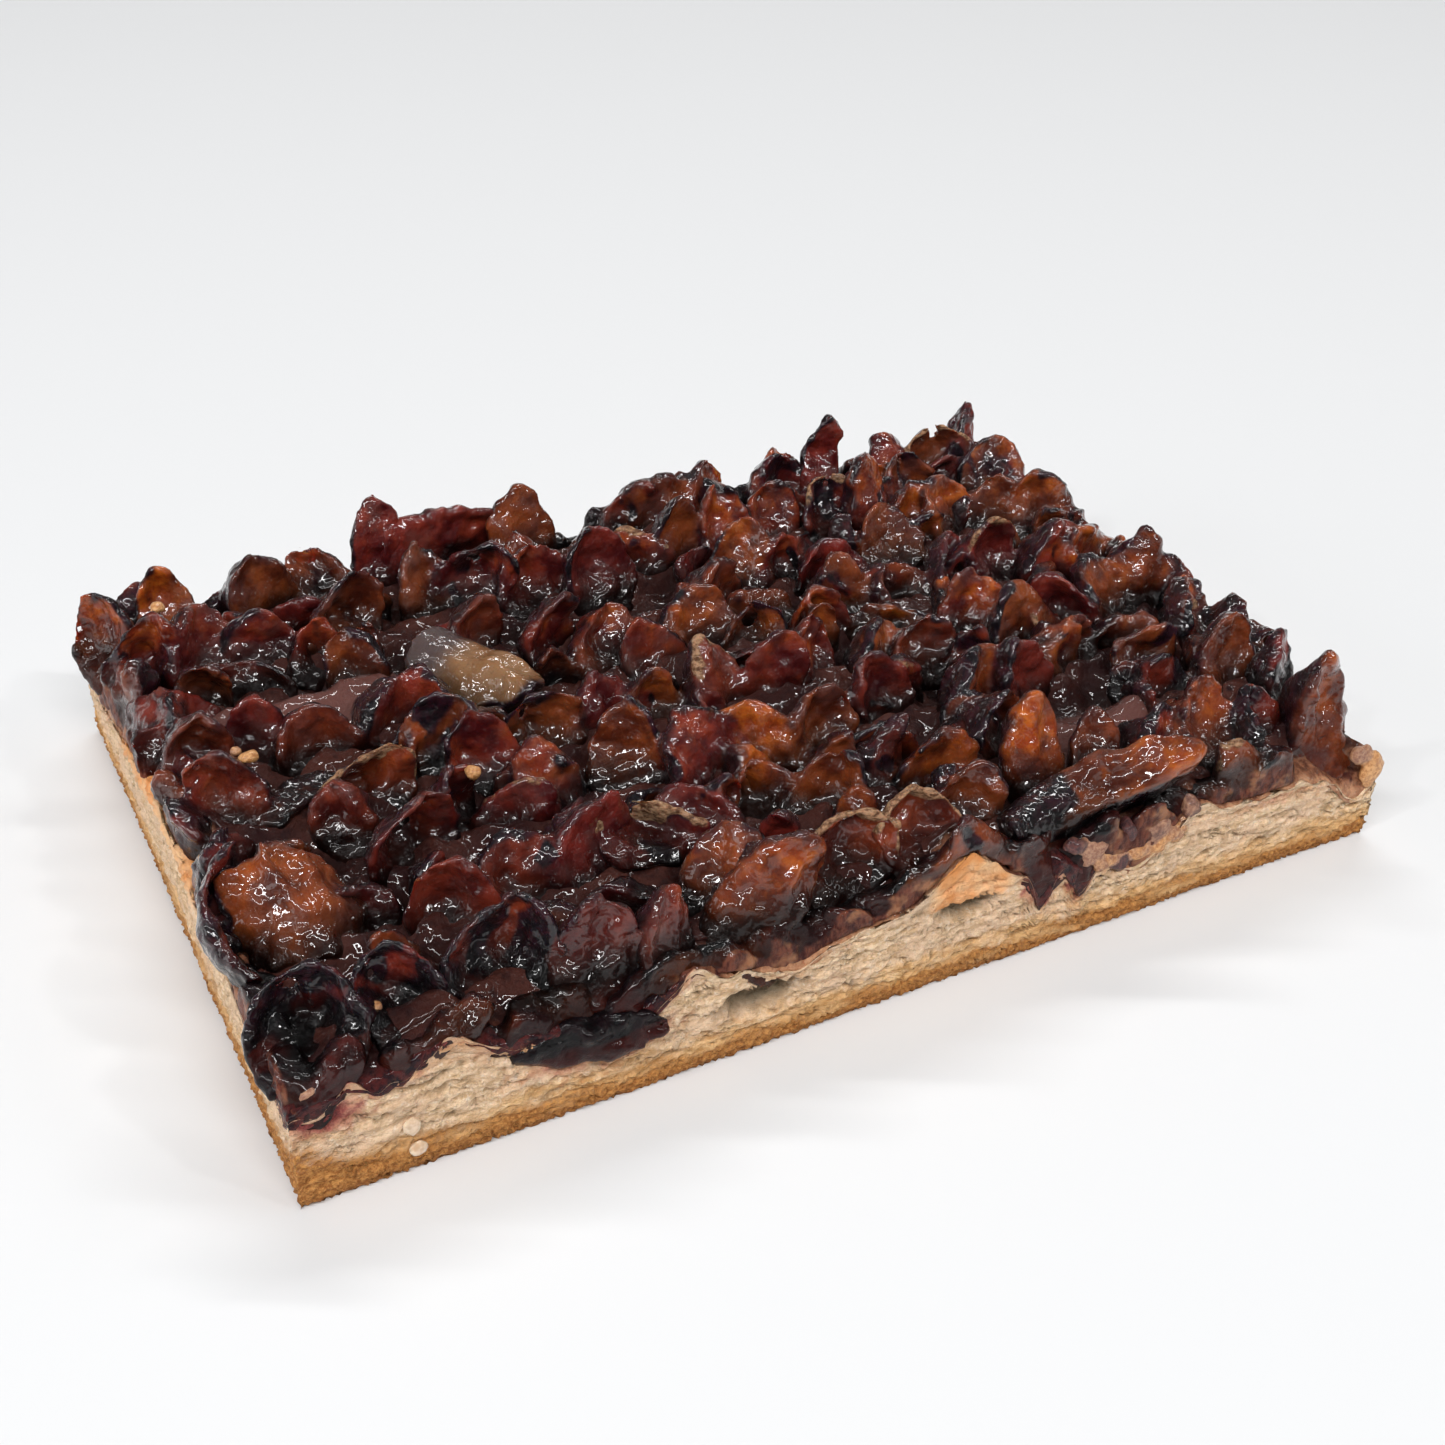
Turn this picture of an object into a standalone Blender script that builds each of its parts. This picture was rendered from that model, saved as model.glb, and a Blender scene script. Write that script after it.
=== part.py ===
"""Plum yeast cake: one slab cut from a tray bake.

A flat yeast dough carries plum wedges that stand on end in rows, sunk in a thick layer of
juice and glaze. Lengths are in millimetres and are scaled to metres when a mesh is made.
Places are measured from the slab's front left bottom corner, with x along the long front
cut and y along the left cut. The finished model is centred on its box, resting on z = 0.
"""

import math
import random

import bmesh
import bpy
import numpy as np
from mathutils import Vector
from mathutils.geometry import delaunay_2d_cdt

MM = 0.001

# Driving dimensions
SLAB_LENGTH = 248.6
SLAB_DEPTH = 168.0
DOUGH_EDGE = 21.0
DOUGH_MIDDLE = 17.0
CRUST_HEIGHT = 5.0
GLAZE_LEVEL = 25.3
GLAZE_RIDGE = 1.8
GLAZE_WAVE = 0.8
GLAZE_DROP = 2.0
BED_ROOT = 8.0
BED_SHOULDER = 6.0
BED_SHOULDER_RISE = 1.0
BED_SHOULDER_WIDTH = 1.8
SEAT_GAP = 0.3

# The dough's cut edge
FRONT_STEP = 4.8
OTHER_STEP = 8.5
MIDDLE_INSET = 13.0
FLUSH_INSET = 0.5
CUT_RECESS = 0.35
CRUMB_RECESS = 0.5

# Rises and dips of the dough's edge under the fruit: place along the cut, half width, height
FRONT_WAVES = [
    (11.0, 3.0, 4.5), (29.0, 7.0, 7.0), (60.0, 9.0, -9.0), (76.0, 4.5, 4.5), (98.0, 8.0, -4.0),
    (136.5, 9.0, 10.0), (156.0, 3.0, -9.0), (166.0, 3.2, -9.0), (180.0, 8.0, -8.0),
    (196.0, 4.5, 4.0), (243.0, 8.0, -10.0),
]
RIGHT_WAVES = [(8.0, 8.0, -5.0), (34.0, 8.0, 4.0), (60.0, 6.0, -5.0), (92.0, 12.0, 5.0), (130.0, 7.0, -6.0)]
BACK_WAVES = [(30.0, 8.0, -5.0), (62.0, 9.0, 5.0), (104.0, 7.0, -6.0), (150.0, 12.0, 5.0), (200.0, 8.0, -5.0)]
LEFT_WAVES = [(20.0, 4.0, -2.0), (45.0, 10.0, 6.0), (88.0, 22.0, 7.0), (122.0, 6.0, 2.0), (154.0, 11.0, -5.0)]

# Bare dough beside the fruit on the left cut: place along the cut, half width, inset
LEFT_BARE = [(72.0, 5.0, 4.0), (104.0, 11.0, 6.5)]

# Hollows baked into the front cut: middle and half sizes
FRONT_HOLLOWS = [
    ((91.0, 1.0, 12.5), (8.5, 5.0, 2.6)),
    ((137.5, 0.5, 17.5), (8.5, 4.0, 1.7)),
]

# Rows of plum wedges
ROW_COUNT = 8
ROW_FIRST = 9.5
ROW_STEP = 21.3
WEDGE_STEP = 13.4
WEDGE_FOOT = 21.0
EDGE_MARGIN = 8.0
FEATURE_ROOM = 1.0
FEATURE_DEPTH_ROOM = 6.5
ROW_SEED = 34

# Pools of glaze that no wedge stands in: middle and half sizes in plan
POOLS = [((41.0, 110.0), (21.0, 8.5)), ((191.0, 33.0), (15.0, 8.0)), ((120.0, 121.0), (9.0, 5.0))]

# Mesh fineness
FEATURE_RINGS = [0.0, 0.34, 0.66, 0.88]
FEATURE_ANGLES = [0.0, 55.0, 125.0, 180.0, 235.0, 305.0]
ROW_RINGS = [0.0, 0.46, 0.82]
ROW_ANGLES = [0.0, 62.0, 118.0, 180.0, 270.0]
BED_STEP = 15.0
POCKET_GROWTH = 0.5
MERGE_DISTANCE = 0.02
SHARP_ANGLE = 45


class Wedge:
    """One piece of plum, described by its foot, its tip and the way its flesh faces."""

    def __init__(self, foot, tip, width, thick, facing=-90.0, tilt=0.0, cup=0.3, bow=0.0, sharp=2.2):
        self.foot = np.array(foot, float)
        self.tip = np.array(tip, float)
        self.width = width
        self.thick = thick
        self.facing = math.radians(facing)
        self.tilt = math.radians(tilt)
        self.cup = cup
        self.bow = bow
        self.sharp = sharp


# Pieces that stand out and are separate solids. A facing of -90 looks at the front cut.
FEATURES = {
    "plum_corner_charred_left": Wedge((7.5, 8, 20), (9, 18, 39), 22, 12, -110, 15, 0.5, 0.1, 3.2),
    "plum_corner_charred_right": Wedge((25, 7, 21), (27, 16, 39), 18, 12, -80, 10, 0.5, 0.1, 3.0),
    "plum_glazed_oval": Wedge((15, 35, 23), (17, 52, 39.5), 26, 15, -95, 40, -0.25, 0.05, 4.0),
    "plum_skin_crescent": Wedge((2.5, 31, 24), (5.5, 54, 41), 15, 4.5, -20, 10, 0.35, 0.22, 3.0),
    "plum_front_blue_arc": Wedge((42, 8, 20.5), (45, 17, 41), 22, 11, -90, 10, 0.55, 0.1, 3.2),
    "plum_front_skin": Wedge((40, 2.5, 18), (73, 2, 15), 9, 4.5, -90, 10, 0.2, -0.05, 3.4),
    "plum_front_purple": Wedge((58, 6.5, 20), (62, 12, 41), 19, 12, -100, 0, 0.3, 0.05, 1.8),
    "plum_front_small": Wedge((73, 6, 20), (71.5, 10, 38), 14, 11, -75, 5, 0.3, 0.0, 1.8),
    "plum_front_long": Wedge((87, 6, 17), (106, 12, 41.5), 22, 14, -78, 10, 0.1, 0.1, 2.2),
    "plum_dry_arch_left": Wedge((112, 8, 21), (116, 14, 40), 20, 12, -85, 10, 0.45, 0.1, 3.6),
    "plum_dry_arch_right": Wedge((130, 8, 24), (132, 13, 41), 19, 12, -90, 5, 0.4, 0.1, 3.6),
    "plum_amber_finger": Wedge((167, 19, 22), (170, 28, 43.5), 16, 12, -95, 0, 0.1, 0.08, 1.9),
    "plum_amber_long": Wedge((150, 7, 27), (195, 6, 37), 17, 13, -90, 45, -0.1, 0.10, 2.4),
    "plum_end_wedge": Wedge((235.5, 7.5, 16), (237.5, 13, 43), 18, 13, -85, 0, 0.2, 0.05, 2.0),
    "plum_end_hook": Wedge((239, 24, 22), (242, 30, 40), 13, 8, -70, 0, 0.4, 0.12, 1.9),
    "plum_dry_crust": Wedge((83, 31, 26), (85, 37, 38), 23, 9, -90, 45, 0.3, 0.05, 4.0),
    "plum_skin_arc_left": Wedge((39, 50, 22), (43, 57, 40), 21, 8, -85, 10, 0.5, 0.1, 3.4),
    "plum_dry_rim": Wedge((37, 70, 23), (40, 77, 39), 21, 8, -90, 20, 0.45, 0.1, 3.8),
    "plum_pale_half": Wedge((68, 119, 31), (84, 89, 32.5), 20, 12, -100, 75, -0.15, 0.09, 2.4),
    "plum_grey_lobe": Wedge((214, 44, 23), (221, 50, 38), 17, 9, -75, 30, 0.2, 0.1, 3.0),
    "plum_back_spike": Wedge((194, 156, 23), (198, 164, 49), 12, 9, -90, 0, 0.15, 0.05, 1.5),
    "plum_back_slab_end": Wedge((74, 160, 23), (69.5, 165, 48.5), 15, 8, -90, 0, 0.15, 0.0, 2.4),
    "plum_back_slab": Wedge((72, 163, 33.5), (119, 165, 28), 23, 9, -90, 0, 0.15, 0.02, 3.0),
    "plum_corner_outer": Wedge((5, 149, 22), (0.5, 161, 41), 16, 7, -120, 0, 0.3, 0.1, 2.6),
    "plum_corner_amber": Wedge((19, 153, 22), (20, 163, 43), 15, 9, -95, 0, 0.2, 0.08, 1.8),
    "plum_tall_arch": Wedge((53, 134, 22), (57, 144, 42.5), 20, 9, -90, 5, 0.35, 0.1, 3.0),
    "plum_back_corner": Wedge((241, 157, 23), (246, 162, 43), 13, 8, -80, 0, 0.3, 0.08, 2.4),
    "plum_dark_arch": Wedge((186, 133, 22), (190, 141, 41), 20, 9, -90, 15, 0.5, 0.1, 3.4),
    "plum_red_flesh": Wedge((143, 73, 22), (146, 82, 41), 17, 9, -85, 5, 0.25, 0.08, 2.2),
}


def wave_sum(place, waves):
    """Sum of bell shaped waves, each given by its place, half width and height."""
    return sum(height * math.exp(-((place - middle) / half) ** 2) for middle, half, height in waves)


def perimeter():
    """Points round the cut, each with the edge height, the fruit's inset and its inward direction."""
    sides = [
        ((0.0, 0.0), (1, 0), (0, 1), SLAB_LENGTH, FRONT_WAVES, [], False),
        ((SLAB_LENGTH, 0.0), (0, 1), (-1, 0), SLAB_DEPTH, RIGHT_WAVES, [], False),
        ((SLAB_LENGTH, SLAB_DEPTH), (-1, 0), (0, -1), SLAB_LENGTH, BACK_WAVES, [], True),
        ((0.0, SLAB_DEPTH), (0, -1), (1, 0), SLAB_DEPTH, LEFT_WAVES, LEFT_BARE, True),
    ]
    points = []
    for start, along, inward, length, waves, bare, backwards in sides:
        count = round(length / (FRONT_STEP if waves is FRONT_WAVES else OTHER_STEP))
        for step in range(count):
            run = length * step / count
            place = length - run if backwards else run
            x = start[0] + along[0] * run
            y = start[1] + along[1] * run
            corner = step == 0
            before = points[-1][4] if points else (1, 0)
            direction = (inward[0] + before[0], inward[1] + before[1]) if corner else inward
            height = DOUGH_EDGE + wave_sum(place, waves)
            inset = FLUSH_INSET + wave_sum(place, bare)
            points.append((x, y, height, inset, inward, direction))
    return points


def ring(points, inset, height):
    """One closed ring of points, moved inwards by inset, at the height that the function gives."""
    return [
        (
            x + direction[0] * inset(own_inset),
            y + direction[1] * inset(own_inset),
            height(edge),
        )
        for x, y, edge, own_inset, inward, direction in points
    ]


def middle_ring(points, height):
    """The outline of the dough's level middle: the cut outline, shrunk towards the slab's middle."""
    shrink_x = 1 - 2 * MIDDLE_INSET / SLAB_LENGTH
    shrink_y = 1 - 2 * MIDDLE_INSET / SLAB_DEPTH
    middle_x = SLAB_LENGTH / 2
    middle_y = SLAB_DEPTH / 2
    return [
        (middle_x + (x - middle_x) * shrink_x, middle_y + (y - middle_y) * shrink_y, height)
        for x, y, edge, own_inset, inward, direction in points
    ]


def crumb_wobble(index):
    """A small in and out of the cut crumb, different at each point round the cut."""
    return CRUMB_RECESS * (math.sin(index * 2.4 + 1.7) + math.sin(index * 0.9 + 4.1)) / 2


def join_rings(mesh, lower, upper):
    """Quads between two rings with the same number of points."""
    count = len(lower)
    for index in range(count):
        after = (index + 1) % count
        mesh.faces.new((lower[index], lower[after], upper[after], upper[index]))


def ring_stack(rings):
    """A closed solid through a stack of rings, capped at both ends, in a bmesh."""
    mesh = bmesh.new()
    loops = [[mesh.verts.new(Vector(point) * MM) for point in points] for points in rings]
    for lower, upper in zip(loops, loops[1:]):
        join_rings(mesh, lower, upper)
    mesh.faces.new(list(reversed(loops[0])))
    mesh.faces.new(loops[-1])
    return mesh


def to_object(name, mesh, smooth_angle=None):
    """Turn a bmesh into an object, triangulated, with its faces pointing out."""
    bmesh.ops.triangulate(mesh, faces=mesh.faces[:])
    bmesh.ops.recalc_face_normals(mesh, faces=mesh.faces[:])
    data = bpy.data.meshes.new(name)
    mesh.to_mesh(data)
    mesh.free()
    if smooth_angle:
        data.shade_smooth()
        data.set_sharp_from_angle(angle=math.radians(smooth_angle))
    piece = bpy.data.objects.new(name, data)
    bpy.context.scene.collection.objects.link(piece)
    return piece


def make_cutter(piece):
    """Keep an object for cutting only."""
    piece.hide_render = True
    piece.display_type = "WIRE"
    return piece


def apply_modifiers(piece):
    """Replace the object's mesh by the one its modifiers give."""
    graph = bpy.context.evaluated_depsgraph_get()
    data = bpy.data.meshes.new_from_object(piece.evaluated_get(graph))
    old = piece.data
    piece.modifiers.clear()
    piece.data = data
    data.name = piece.name
    bpy.data.meshes.remove(old)


def cut(piece, cutter, solver="EXACT"):
    """Take the cutter's space out of the piece."""
    modifier = piece.modifiers.new("cut_" + cutter.name, "BOOLEAN")
    modifier.operation = "DIFFERENCE"
    modifier.object = cutter
    modifier.solver = solver
    apply_modifiers(piece)


def keep_largest_body(piece):
    """Drop loose scraps and leave one clean triangulated body."""
    mesh = bmesh.new()
    mesh.from_mesh(piece.data)
    bmesh.ops.remove_doubles(mesh, verts=mesh.verts[:], dist=MERGE_DISTANCE * MM)
    bmesh.ops.dissolve_degenerate(mesh, edges=mesh.edges[:], dist=MERGE_DISTANCE * MM)
    bmesh.ops.triangulate(mesh, faces=mesh.faces[:])
    left = set(mesh.faces)
    bodies = []
    while left:
        front = [left.pop()]
        body = set(front)
        while front:
            face = front.pop()
            for edge in face.edges:
                for other in edge.link_faces:
                    if other in left:
                        left.discard(other)
                        body.add(other)
                        front.append(other)
        bodies.append(body)
    largest = max(bodies, key=len)
    loose = [face for body in bodies if body is not largest for face in body]
    bmesh.ops.delete(mesh, geom=loose, context="FACES")
    bmesh.ops.recalc_face_normals(mesh, faces=mesh.faces[:])
    mesh.to_mesh(piece.data)
    mesh.free()


def shape_dough():
    """The dough: cut faces with uneven crumb, a waved edge, and a level middle under the fruit."""
    points = perimeter()
    crumb = []
    for index, (x, y, edge, own_inset, inward, direction) in enumerate(points):
        depth = CUT_RECESS + crumb_wobble(index)
        crumb.append((x + direction[0] * depth, y + direction[1] * depth, (CRUST_HEIGHT + edge) / 2))
    rings = [
        ring(points, lambda own_inset: CUT_RECESS, lambda edge: 0.0),
        crumb,
        ring(points, lambda own_inset: 0.0, lambda edge: edge),
        ring(points, lambda own_inset: own_inset, lambda edge: edge),
        middle_ring(points, DOUGH_MIDDLE),
    ]
    dough = to_object("dough", ring_stack(rings), SHARP_ANGLE)
    for number, (middle, half) in enumerate(FRONT_HOLLOWS):
        mesh = bmesh.new()
        bmesh.ops.create_icosphere(mesh, subdivisions=2, radius=1.0)
        for vertex in mesh.verts:
            vertex.co = Vector([(m + h * c) * MM for m, h, c in zip(middle, half, vertex.co)])
        hollow = make_cutter(to_object(f"hollow_{number}", mesh))
        cut(dough, hollow)
        bpy.data.objects.remove(hollow)
    keep_largest_body(dough)
    return dough


def shape_dough_space():
    """The space that the dough takes from the fruit: its top, raised by the seat gap."""
    points = perimeter()
    rings = [
        ring(points, lambda own_inset: -SEAT_GAP, lambda edge: -CRUST_HEIGHT),
        ring(points, lambda own_inset: -SEAT_GAP, lambda edge: edge + SEAT_GAP),
        ring(points, lambda own_inset: own_inset, lambda edge: edge + SEAT_GAP),
        middle_ring(points, DOUGH_MIDDLE + SEAT_GAP),
    ]
    return make_cutter(to_object("dough_space", ring_stack(rings)))


def glaze_height(x, y):
    """The glaze's level: higher under the rows, uneven, and lower towards the cut edges."""
    to_edge = min(x, SLAB_LENGTH - x, y, SLAB_DEPTH - y)
    rows = math.cos(2 * math.pi * (y - ROW_FIRST) / ROW_STEP)
    uneven = math.sin(x * 0.11 + 1.3) * math.cos(y * 0.13) + 0.5 * math.sin(x * 0.31 + y * 0.23)
    return GLAZE_LEVEL + GLAZE_RIDGE * rows + GLAZE_WAVE * uneven - GLAZE_DROP * math.exp(-to_edge / 3.0)


def shape_glaze_bed():
    """The layer of juice and glaze: straight sides down into the dough and an uneven top."""
    points = perimeter()
    lowest = GLAZE_LEVEL - BED_SHOULDER
    low = ring(points, lambda own_inset: own_inset - 0.2, lambda edge: BED_ROOT)
    shoulder = ring(
        points,
        lambda own_inset: own_inset - 0.2,
        lambda edge: max(edge, lowest) + BED_SHOULDER_RISE,
    )
    inner = [
        (x, y, max(glaze_height(x, y), edge))
        for x, y, edge in ring(
            points,
            lambda own_inset: own_inset + BED_SHOULDER_WIDTH,
            lambda edge: max(edge, lowest) + 1.6 * BED_SHOULDER_RISE,
        )
    ]
    mesh = bmesh.new()
    loops = [[mesh.verts.new(Vector(point) * MM) for point in outline] for outline in (low, shoulder, inner)]
    join_rings(mesh, loops[0], loops[1])
    join_rings(mesh, loops[1], loops[2])
    mesh.faces.new(list(reversed(loops[0])))
    flat = [Vector((x, y)) for x, y, z in inner]
    outline = len(flat)
    for column in range(1, int(SLAB_LENGTH / BED_STEP)):
        for row in range(1, int(SLAB_DEPTH / BED_STEP)):
            flat.append(Vector((column * BED_STEP, row * BED_STEP)))
    edges = [(i, (i + 1) % outline) for i in range(outline)]
    places, _, faces, origin, _, _ = delaunay_2d_cdt(flat, edges, [], 1, 1e-6)
    vertices = {}
    for index, place in enumerate(places):
        source = [number for number in origin[index] if number < outline]
        if source:
            vertices[index] = loops[2][source[0]]
        else:
            vertices[index] = mesh.verts.new(Vector((place.x, place.y, glaze_height(place.x, place.y))) * MM)
    for face in faces:
        mesh.faces.new([vertices[index] for index in face])
    return to_object("plum_layer", mesh)


def wedge_points(wedge, along, angles):
    """Points on a wedge's skin, one row for each place along it and one column for each angle.

    The spine is a curve from foot to tip, pushed back by the bow. The width swells to the middle
    and closes to a point; the section is a lens with thin rims, bent forwards by the cup.
    """
    run = wedge.tip - wedge.foot
    length = np.linalg.norm(run)
    direction = run / length
    flat = math.cos(wedge.tilt)
    face = np.array([math.cos(wedge.facing) * flat, math.sin(wedge.facing) * flat, math.sin(wedge.tilt)])
    face = face - direction * face.dot(direction)
    face = face / np.linalg.norm(face)
    across = np.cross(face, direction)
    s = np.array(along)[:, None]
    a = np.radians(np.array(angles))[None, :]
    spine = wedge.foot + s[..., None] * run - face * (4 * wedge.bow * length * s * (1 - s))[..., None]
    closing = np.clip(1 - s ** wedge.sharp, 0, 1) ** 0.7
    half_width = 0.5 * wedge.width * (0.66 + 0.34 * np.sin(np.minimum(s / 0.5, 1) * np.pi / 2)) * closing
    half_thick = 0.5 * wedge.thick * np.clip(1 - s ** 3, 0, 1) ** 0.7 * (1 - 0.25 * s)
    u = np.cos(a)
    v = np.sin(a)
    side = half_width * u
    back = half_thick * v * np.abs(v) - wedge.cup * half_width * (u ** 2 - 0.35)
    return spine + side[..., None] * across - back[..., None] * face


def wedge_mesh(wedge, rings, angles, growth=0.0):
    """A closed wedge with few faces, grown along its normals where it cuts a pocket."""
    rows = wedge_points(wedge, rings, angles)
    tip = wedge_points(wedge, [1.0], [0.0])[0][0]
    mesh = bmesh.new()
    loops = [[mesh.verts.new(Vector(point) * MM) for point in row] for row in rows]
    for lower, upper in zip(loops, loops[1:]):
        join_rings(mesh, lower, upper)
    mesh.faces.new(list(reversed(loops[0])))
    top = mesh.verts.new(Vector(tip) * MM)
    last = loops[-1]
    for index in range(len(last)):
        mesh.faces.new((last[index], last[(index + 1) % len(last)], top))
    bmesh.ops.triangulate(mesh, faces=mesh.faces[:])
    bmesh.ops.recalc_face_normals(mesh, faces=mesh.faces[:])
    if growth:
        mesh.normal_update()
        moves = [(vertex, vertex.normal * growth * MM) for vertex in mesh.verts]
        for vertex, move in moves:
            vertex.co += move
    return mesh


def in_pool(x, y):
    """Whether a place lies in one of the open pools of glaze."""
    return any(((x - px) / rx) ** 2 + ((y - py) / ry) ** 2 < 1 for (px, py), (rx, ry) in POOLS)


def near_feature(x, y):
    """Whether a place is taken by one of the pieces that stand out."""
    for wedge in FEATURES.values():
        run = wedge.tip[:2] - wedge.foot[:2]
        share = np.dot((x, y) - wedge.foot[:2], run) / max(run.dot(run), 1e-6)
        spot = wedge.foot[:2] + run * min(max(share, 0.0), 1.0)
        reach = wedge.width / 2 + FEATURE_ROOM
        if math.hypot((x - spot[0]) / reach, (y - spot[1]) / FEATURE_DEPTH_ROOM) < 1:
            return True
    return False


def row_wedges():
    """The wedges that fill the rows, uneven in place, size and lean, with the draws seeded."""
    draw = random.Random(ROW_SEED)
    wedges = []
    for row in range(ROW_COUNT):
        count = int((SLAB_LENGTH - 2 * EDGE_MARGIN) / WEDGE_STEP)
        shift = 0.5 * WEDGE_STEP * (row % 2)
        for place in range(count + 1):
            x = EDGE_MARGIN + shift + place * WEDGE_STEP + draw.uniform(-3.5, 3.5)
            y = ROW_FIRST + row * ROW_STEP + draw.uniform(-5.5, 5.5)
            width = draw.uniform(15.0, 22.0)
            thick = draw.uniform(9.0, 14.0)
            top = draw.uniform(35.0, 41.5) + 3.0 * row / (ROW_COUNT - 1)
            lean_x = draw.uniform(-4.0, 5.0)
            lean_y = draw.uniform(2.0, 11.0)
            facing = -90 + draw.uniform(-32.0, 32.0)
            cup = draw.choice([0.05, 0.25, 0.4, 0.5])
            bow = draw.uniform(-0.02, 0.12)
            sharp = draw.choice([1.6, 2.0, 2.6, 3.4])
            x = min(max(x, EDGE_MARGIN), SLAB_LENGTH - EDGE_MARGIN)
            y = min(max(y, EDGE_MARGIN - 1), SLAB_DEPTH - EDGE_MARGIN)
            if in_pool(x, y) or near_feature(x, y):
                continue
            tip_y = min(y + lean_y, SLAB_DEPTH + 1)
            foot = (x, y, WEDGE_FOOT)
            tip = (x + lean_x, tip_y, top)
            wedges.append(Wedge(foot, tip, width, thick, facing, 5.0, cup, bow, sharp))
    return wedges


def fuse_wedges(bed):
    """Join the rows of wedges to the glaze bed by one union on a collection."""
    group = bpy.data.collections.new("row_wedges")
    bpy.context.scene.collection.children.link(group)
    for number, wedge in enumerate(row_wedges()):
        piece = to_object(f"row_wedge_{number:03d}", wedge_mesh(wedge, ROW_RINGS, ROW_ANGLES))
        bpy.context.scene.collection.objects.unlink(piece)
        group.objects.link(piece)
    modifier = bed.modifiers.new("fuse", "BOOLEAN")
    modifier.operation = "UNION"
    modifier.operand_type = "COLLECTION"
    modifier.collection = group
    modifier.solver = "MANIFOLD"
    apply_modifiers(bed)
    for piece in list(group.objects):
        bpy.data.objects.remove(piece)
    bpy.data.collections.remove(group)


def boxes_meet(one, other, room=1.0):
    """Whether the boxes round two wedges come within a little room of each other."""
    first = wedge_points(one, FEATURE_RINGS + [1.0], FEATURE_ANGLES).reshape(-1, 3)
    second = wedge_points(other, FEATURE_RINGS + [1.0], FEATURE_ANGLES).reshape(-1, 3)
    return bool(np.all(first.min(0) - room < second.max(0)) and np.all(second.min(0) - room < first.max(0)))


def shape_topping(dough_space):
    """The plum layer, and the standing pieces, each in a pocket of its own."""
    layer = shape_glaze_bed()
    fuse_wedges(layer)
    cut(layer, dough_space, "MANIFOLD")
    placed = []
    pieces = []
    for name, wedge in FEATURES.items():
        pocket_shape = wedge_mesh(wedge, FEATURE_RINGS, FEATURE_ANGLES, POCKET_GROWTH)
        pocket = make_cutter(to_object("pocket_" + name, pocket_shape))
        cut(layer, pocket, "MANIFOLD")
        piece = to_object(name, wedge_mesh(wedge, FEATURE_RINGS, FEATURE_ANGLES), SHARP_ANGLE)
        cut(piece, dough_space, "MANIFOLD")
        for other, other_pocket in placed:
            if boxes_meet(wedge, other):
                cut(piece, other_pocket, "MANIFOLD")
        keep_largest_body(piece)
        placed.append((wedge, pocket))
        pieces.append(piece)
    for wedge, pocket in placed:
        bpy.data.objects.remove(pocket)
    keep_largest_body(layer)
    return layer, pieces


def material(name, colour, roughness):
    """A plain finish for one kind of piece."""
    finish = bpy.data.materials.new(name)
    finish.use_nodes = True
    shader = finish.node_tree.nodes["Principled BSDF"]
    shader.inputs["Base Color"].default_value = (*colour, 1.0)
    shader.inputs["Roughness"].default_value = roughness
    shader.inputs["Metallic"].default_value = 0.0
    finish.diffuse_color = (*colour, 1.0)
    return finish


def centre_on_box(pieces):
    """Move every mesh so that the middle of the whole box stands over the origin, on z = 0."""
    corners = np.array([vertex.co for piece in pieces for vertex in piece.data.vertices])
    low = corners.min(0)
    high = corners.max(0)
    shift = Vector((-(low[0] + high[0]) / 2, -(low[1] + high[1]) / 2, -low[2]))
    for piece in pieces:
        for vertex in piece.data.vertices:
            vertex.co += shift


def main():
    for old in list(bpy.data.objects):
        bpy.data.objects.remove(old)
    dough = shape_dough()
    space = shape_dough_space()
    layer, standing = shape_topping(space)
    bpy.data.objects.remove(space)
    dough.data.materials.clear()
    dough.data.materials.append(material("baked_dough", (0.72, 0.55, 0.36), 0.8))
    glazed = material("glazed_plum", (0.13, 0.03, 0.02), 0.25)
    layer.data.materials.clear()
    layer.data.materials.append(glazed)
    flesh = material("standing_plum", (0.24, 0.06, 0.03), 0.25)
    for piece in standing:
        piece.data.materials.clear()
        piece.data.materials.append(flesh)
    centre_on_box([dough, layer] + standing)


main()
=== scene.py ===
"""The looks of the plum yeast cake.

Every surface here is a function of two parameters worked out on a numpy grid in millimetres:
a plum piece is a lens section carried from its foot to its tip, the dough is a profile carried
round the cut, and the glaze is a height over the slab. The plum pieces are then melted together
into closed skins. Places are measured from the slab's front left bottom corner, with x along the
front cut and y along the left cut.
"""

import math
import random

import bpy
import numpy as np
from mathutils import Matrix, Vector


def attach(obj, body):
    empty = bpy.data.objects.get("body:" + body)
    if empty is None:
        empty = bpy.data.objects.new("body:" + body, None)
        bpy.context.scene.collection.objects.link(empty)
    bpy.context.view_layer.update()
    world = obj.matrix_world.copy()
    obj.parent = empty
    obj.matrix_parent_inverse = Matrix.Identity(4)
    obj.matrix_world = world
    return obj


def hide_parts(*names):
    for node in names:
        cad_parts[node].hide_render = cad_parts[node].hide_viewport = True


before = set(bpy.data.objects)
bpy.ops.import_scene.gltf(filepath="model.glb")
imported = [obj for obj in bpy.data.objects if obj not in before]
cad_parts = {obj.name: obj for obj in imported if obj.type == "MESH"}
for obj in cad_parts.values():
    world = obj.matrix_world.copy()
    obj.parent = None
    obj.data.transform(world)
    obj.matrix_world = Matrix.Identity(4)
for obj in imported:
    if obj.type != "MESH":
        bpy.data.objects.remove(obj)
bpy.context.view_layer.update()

MM = 0.001

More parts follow.
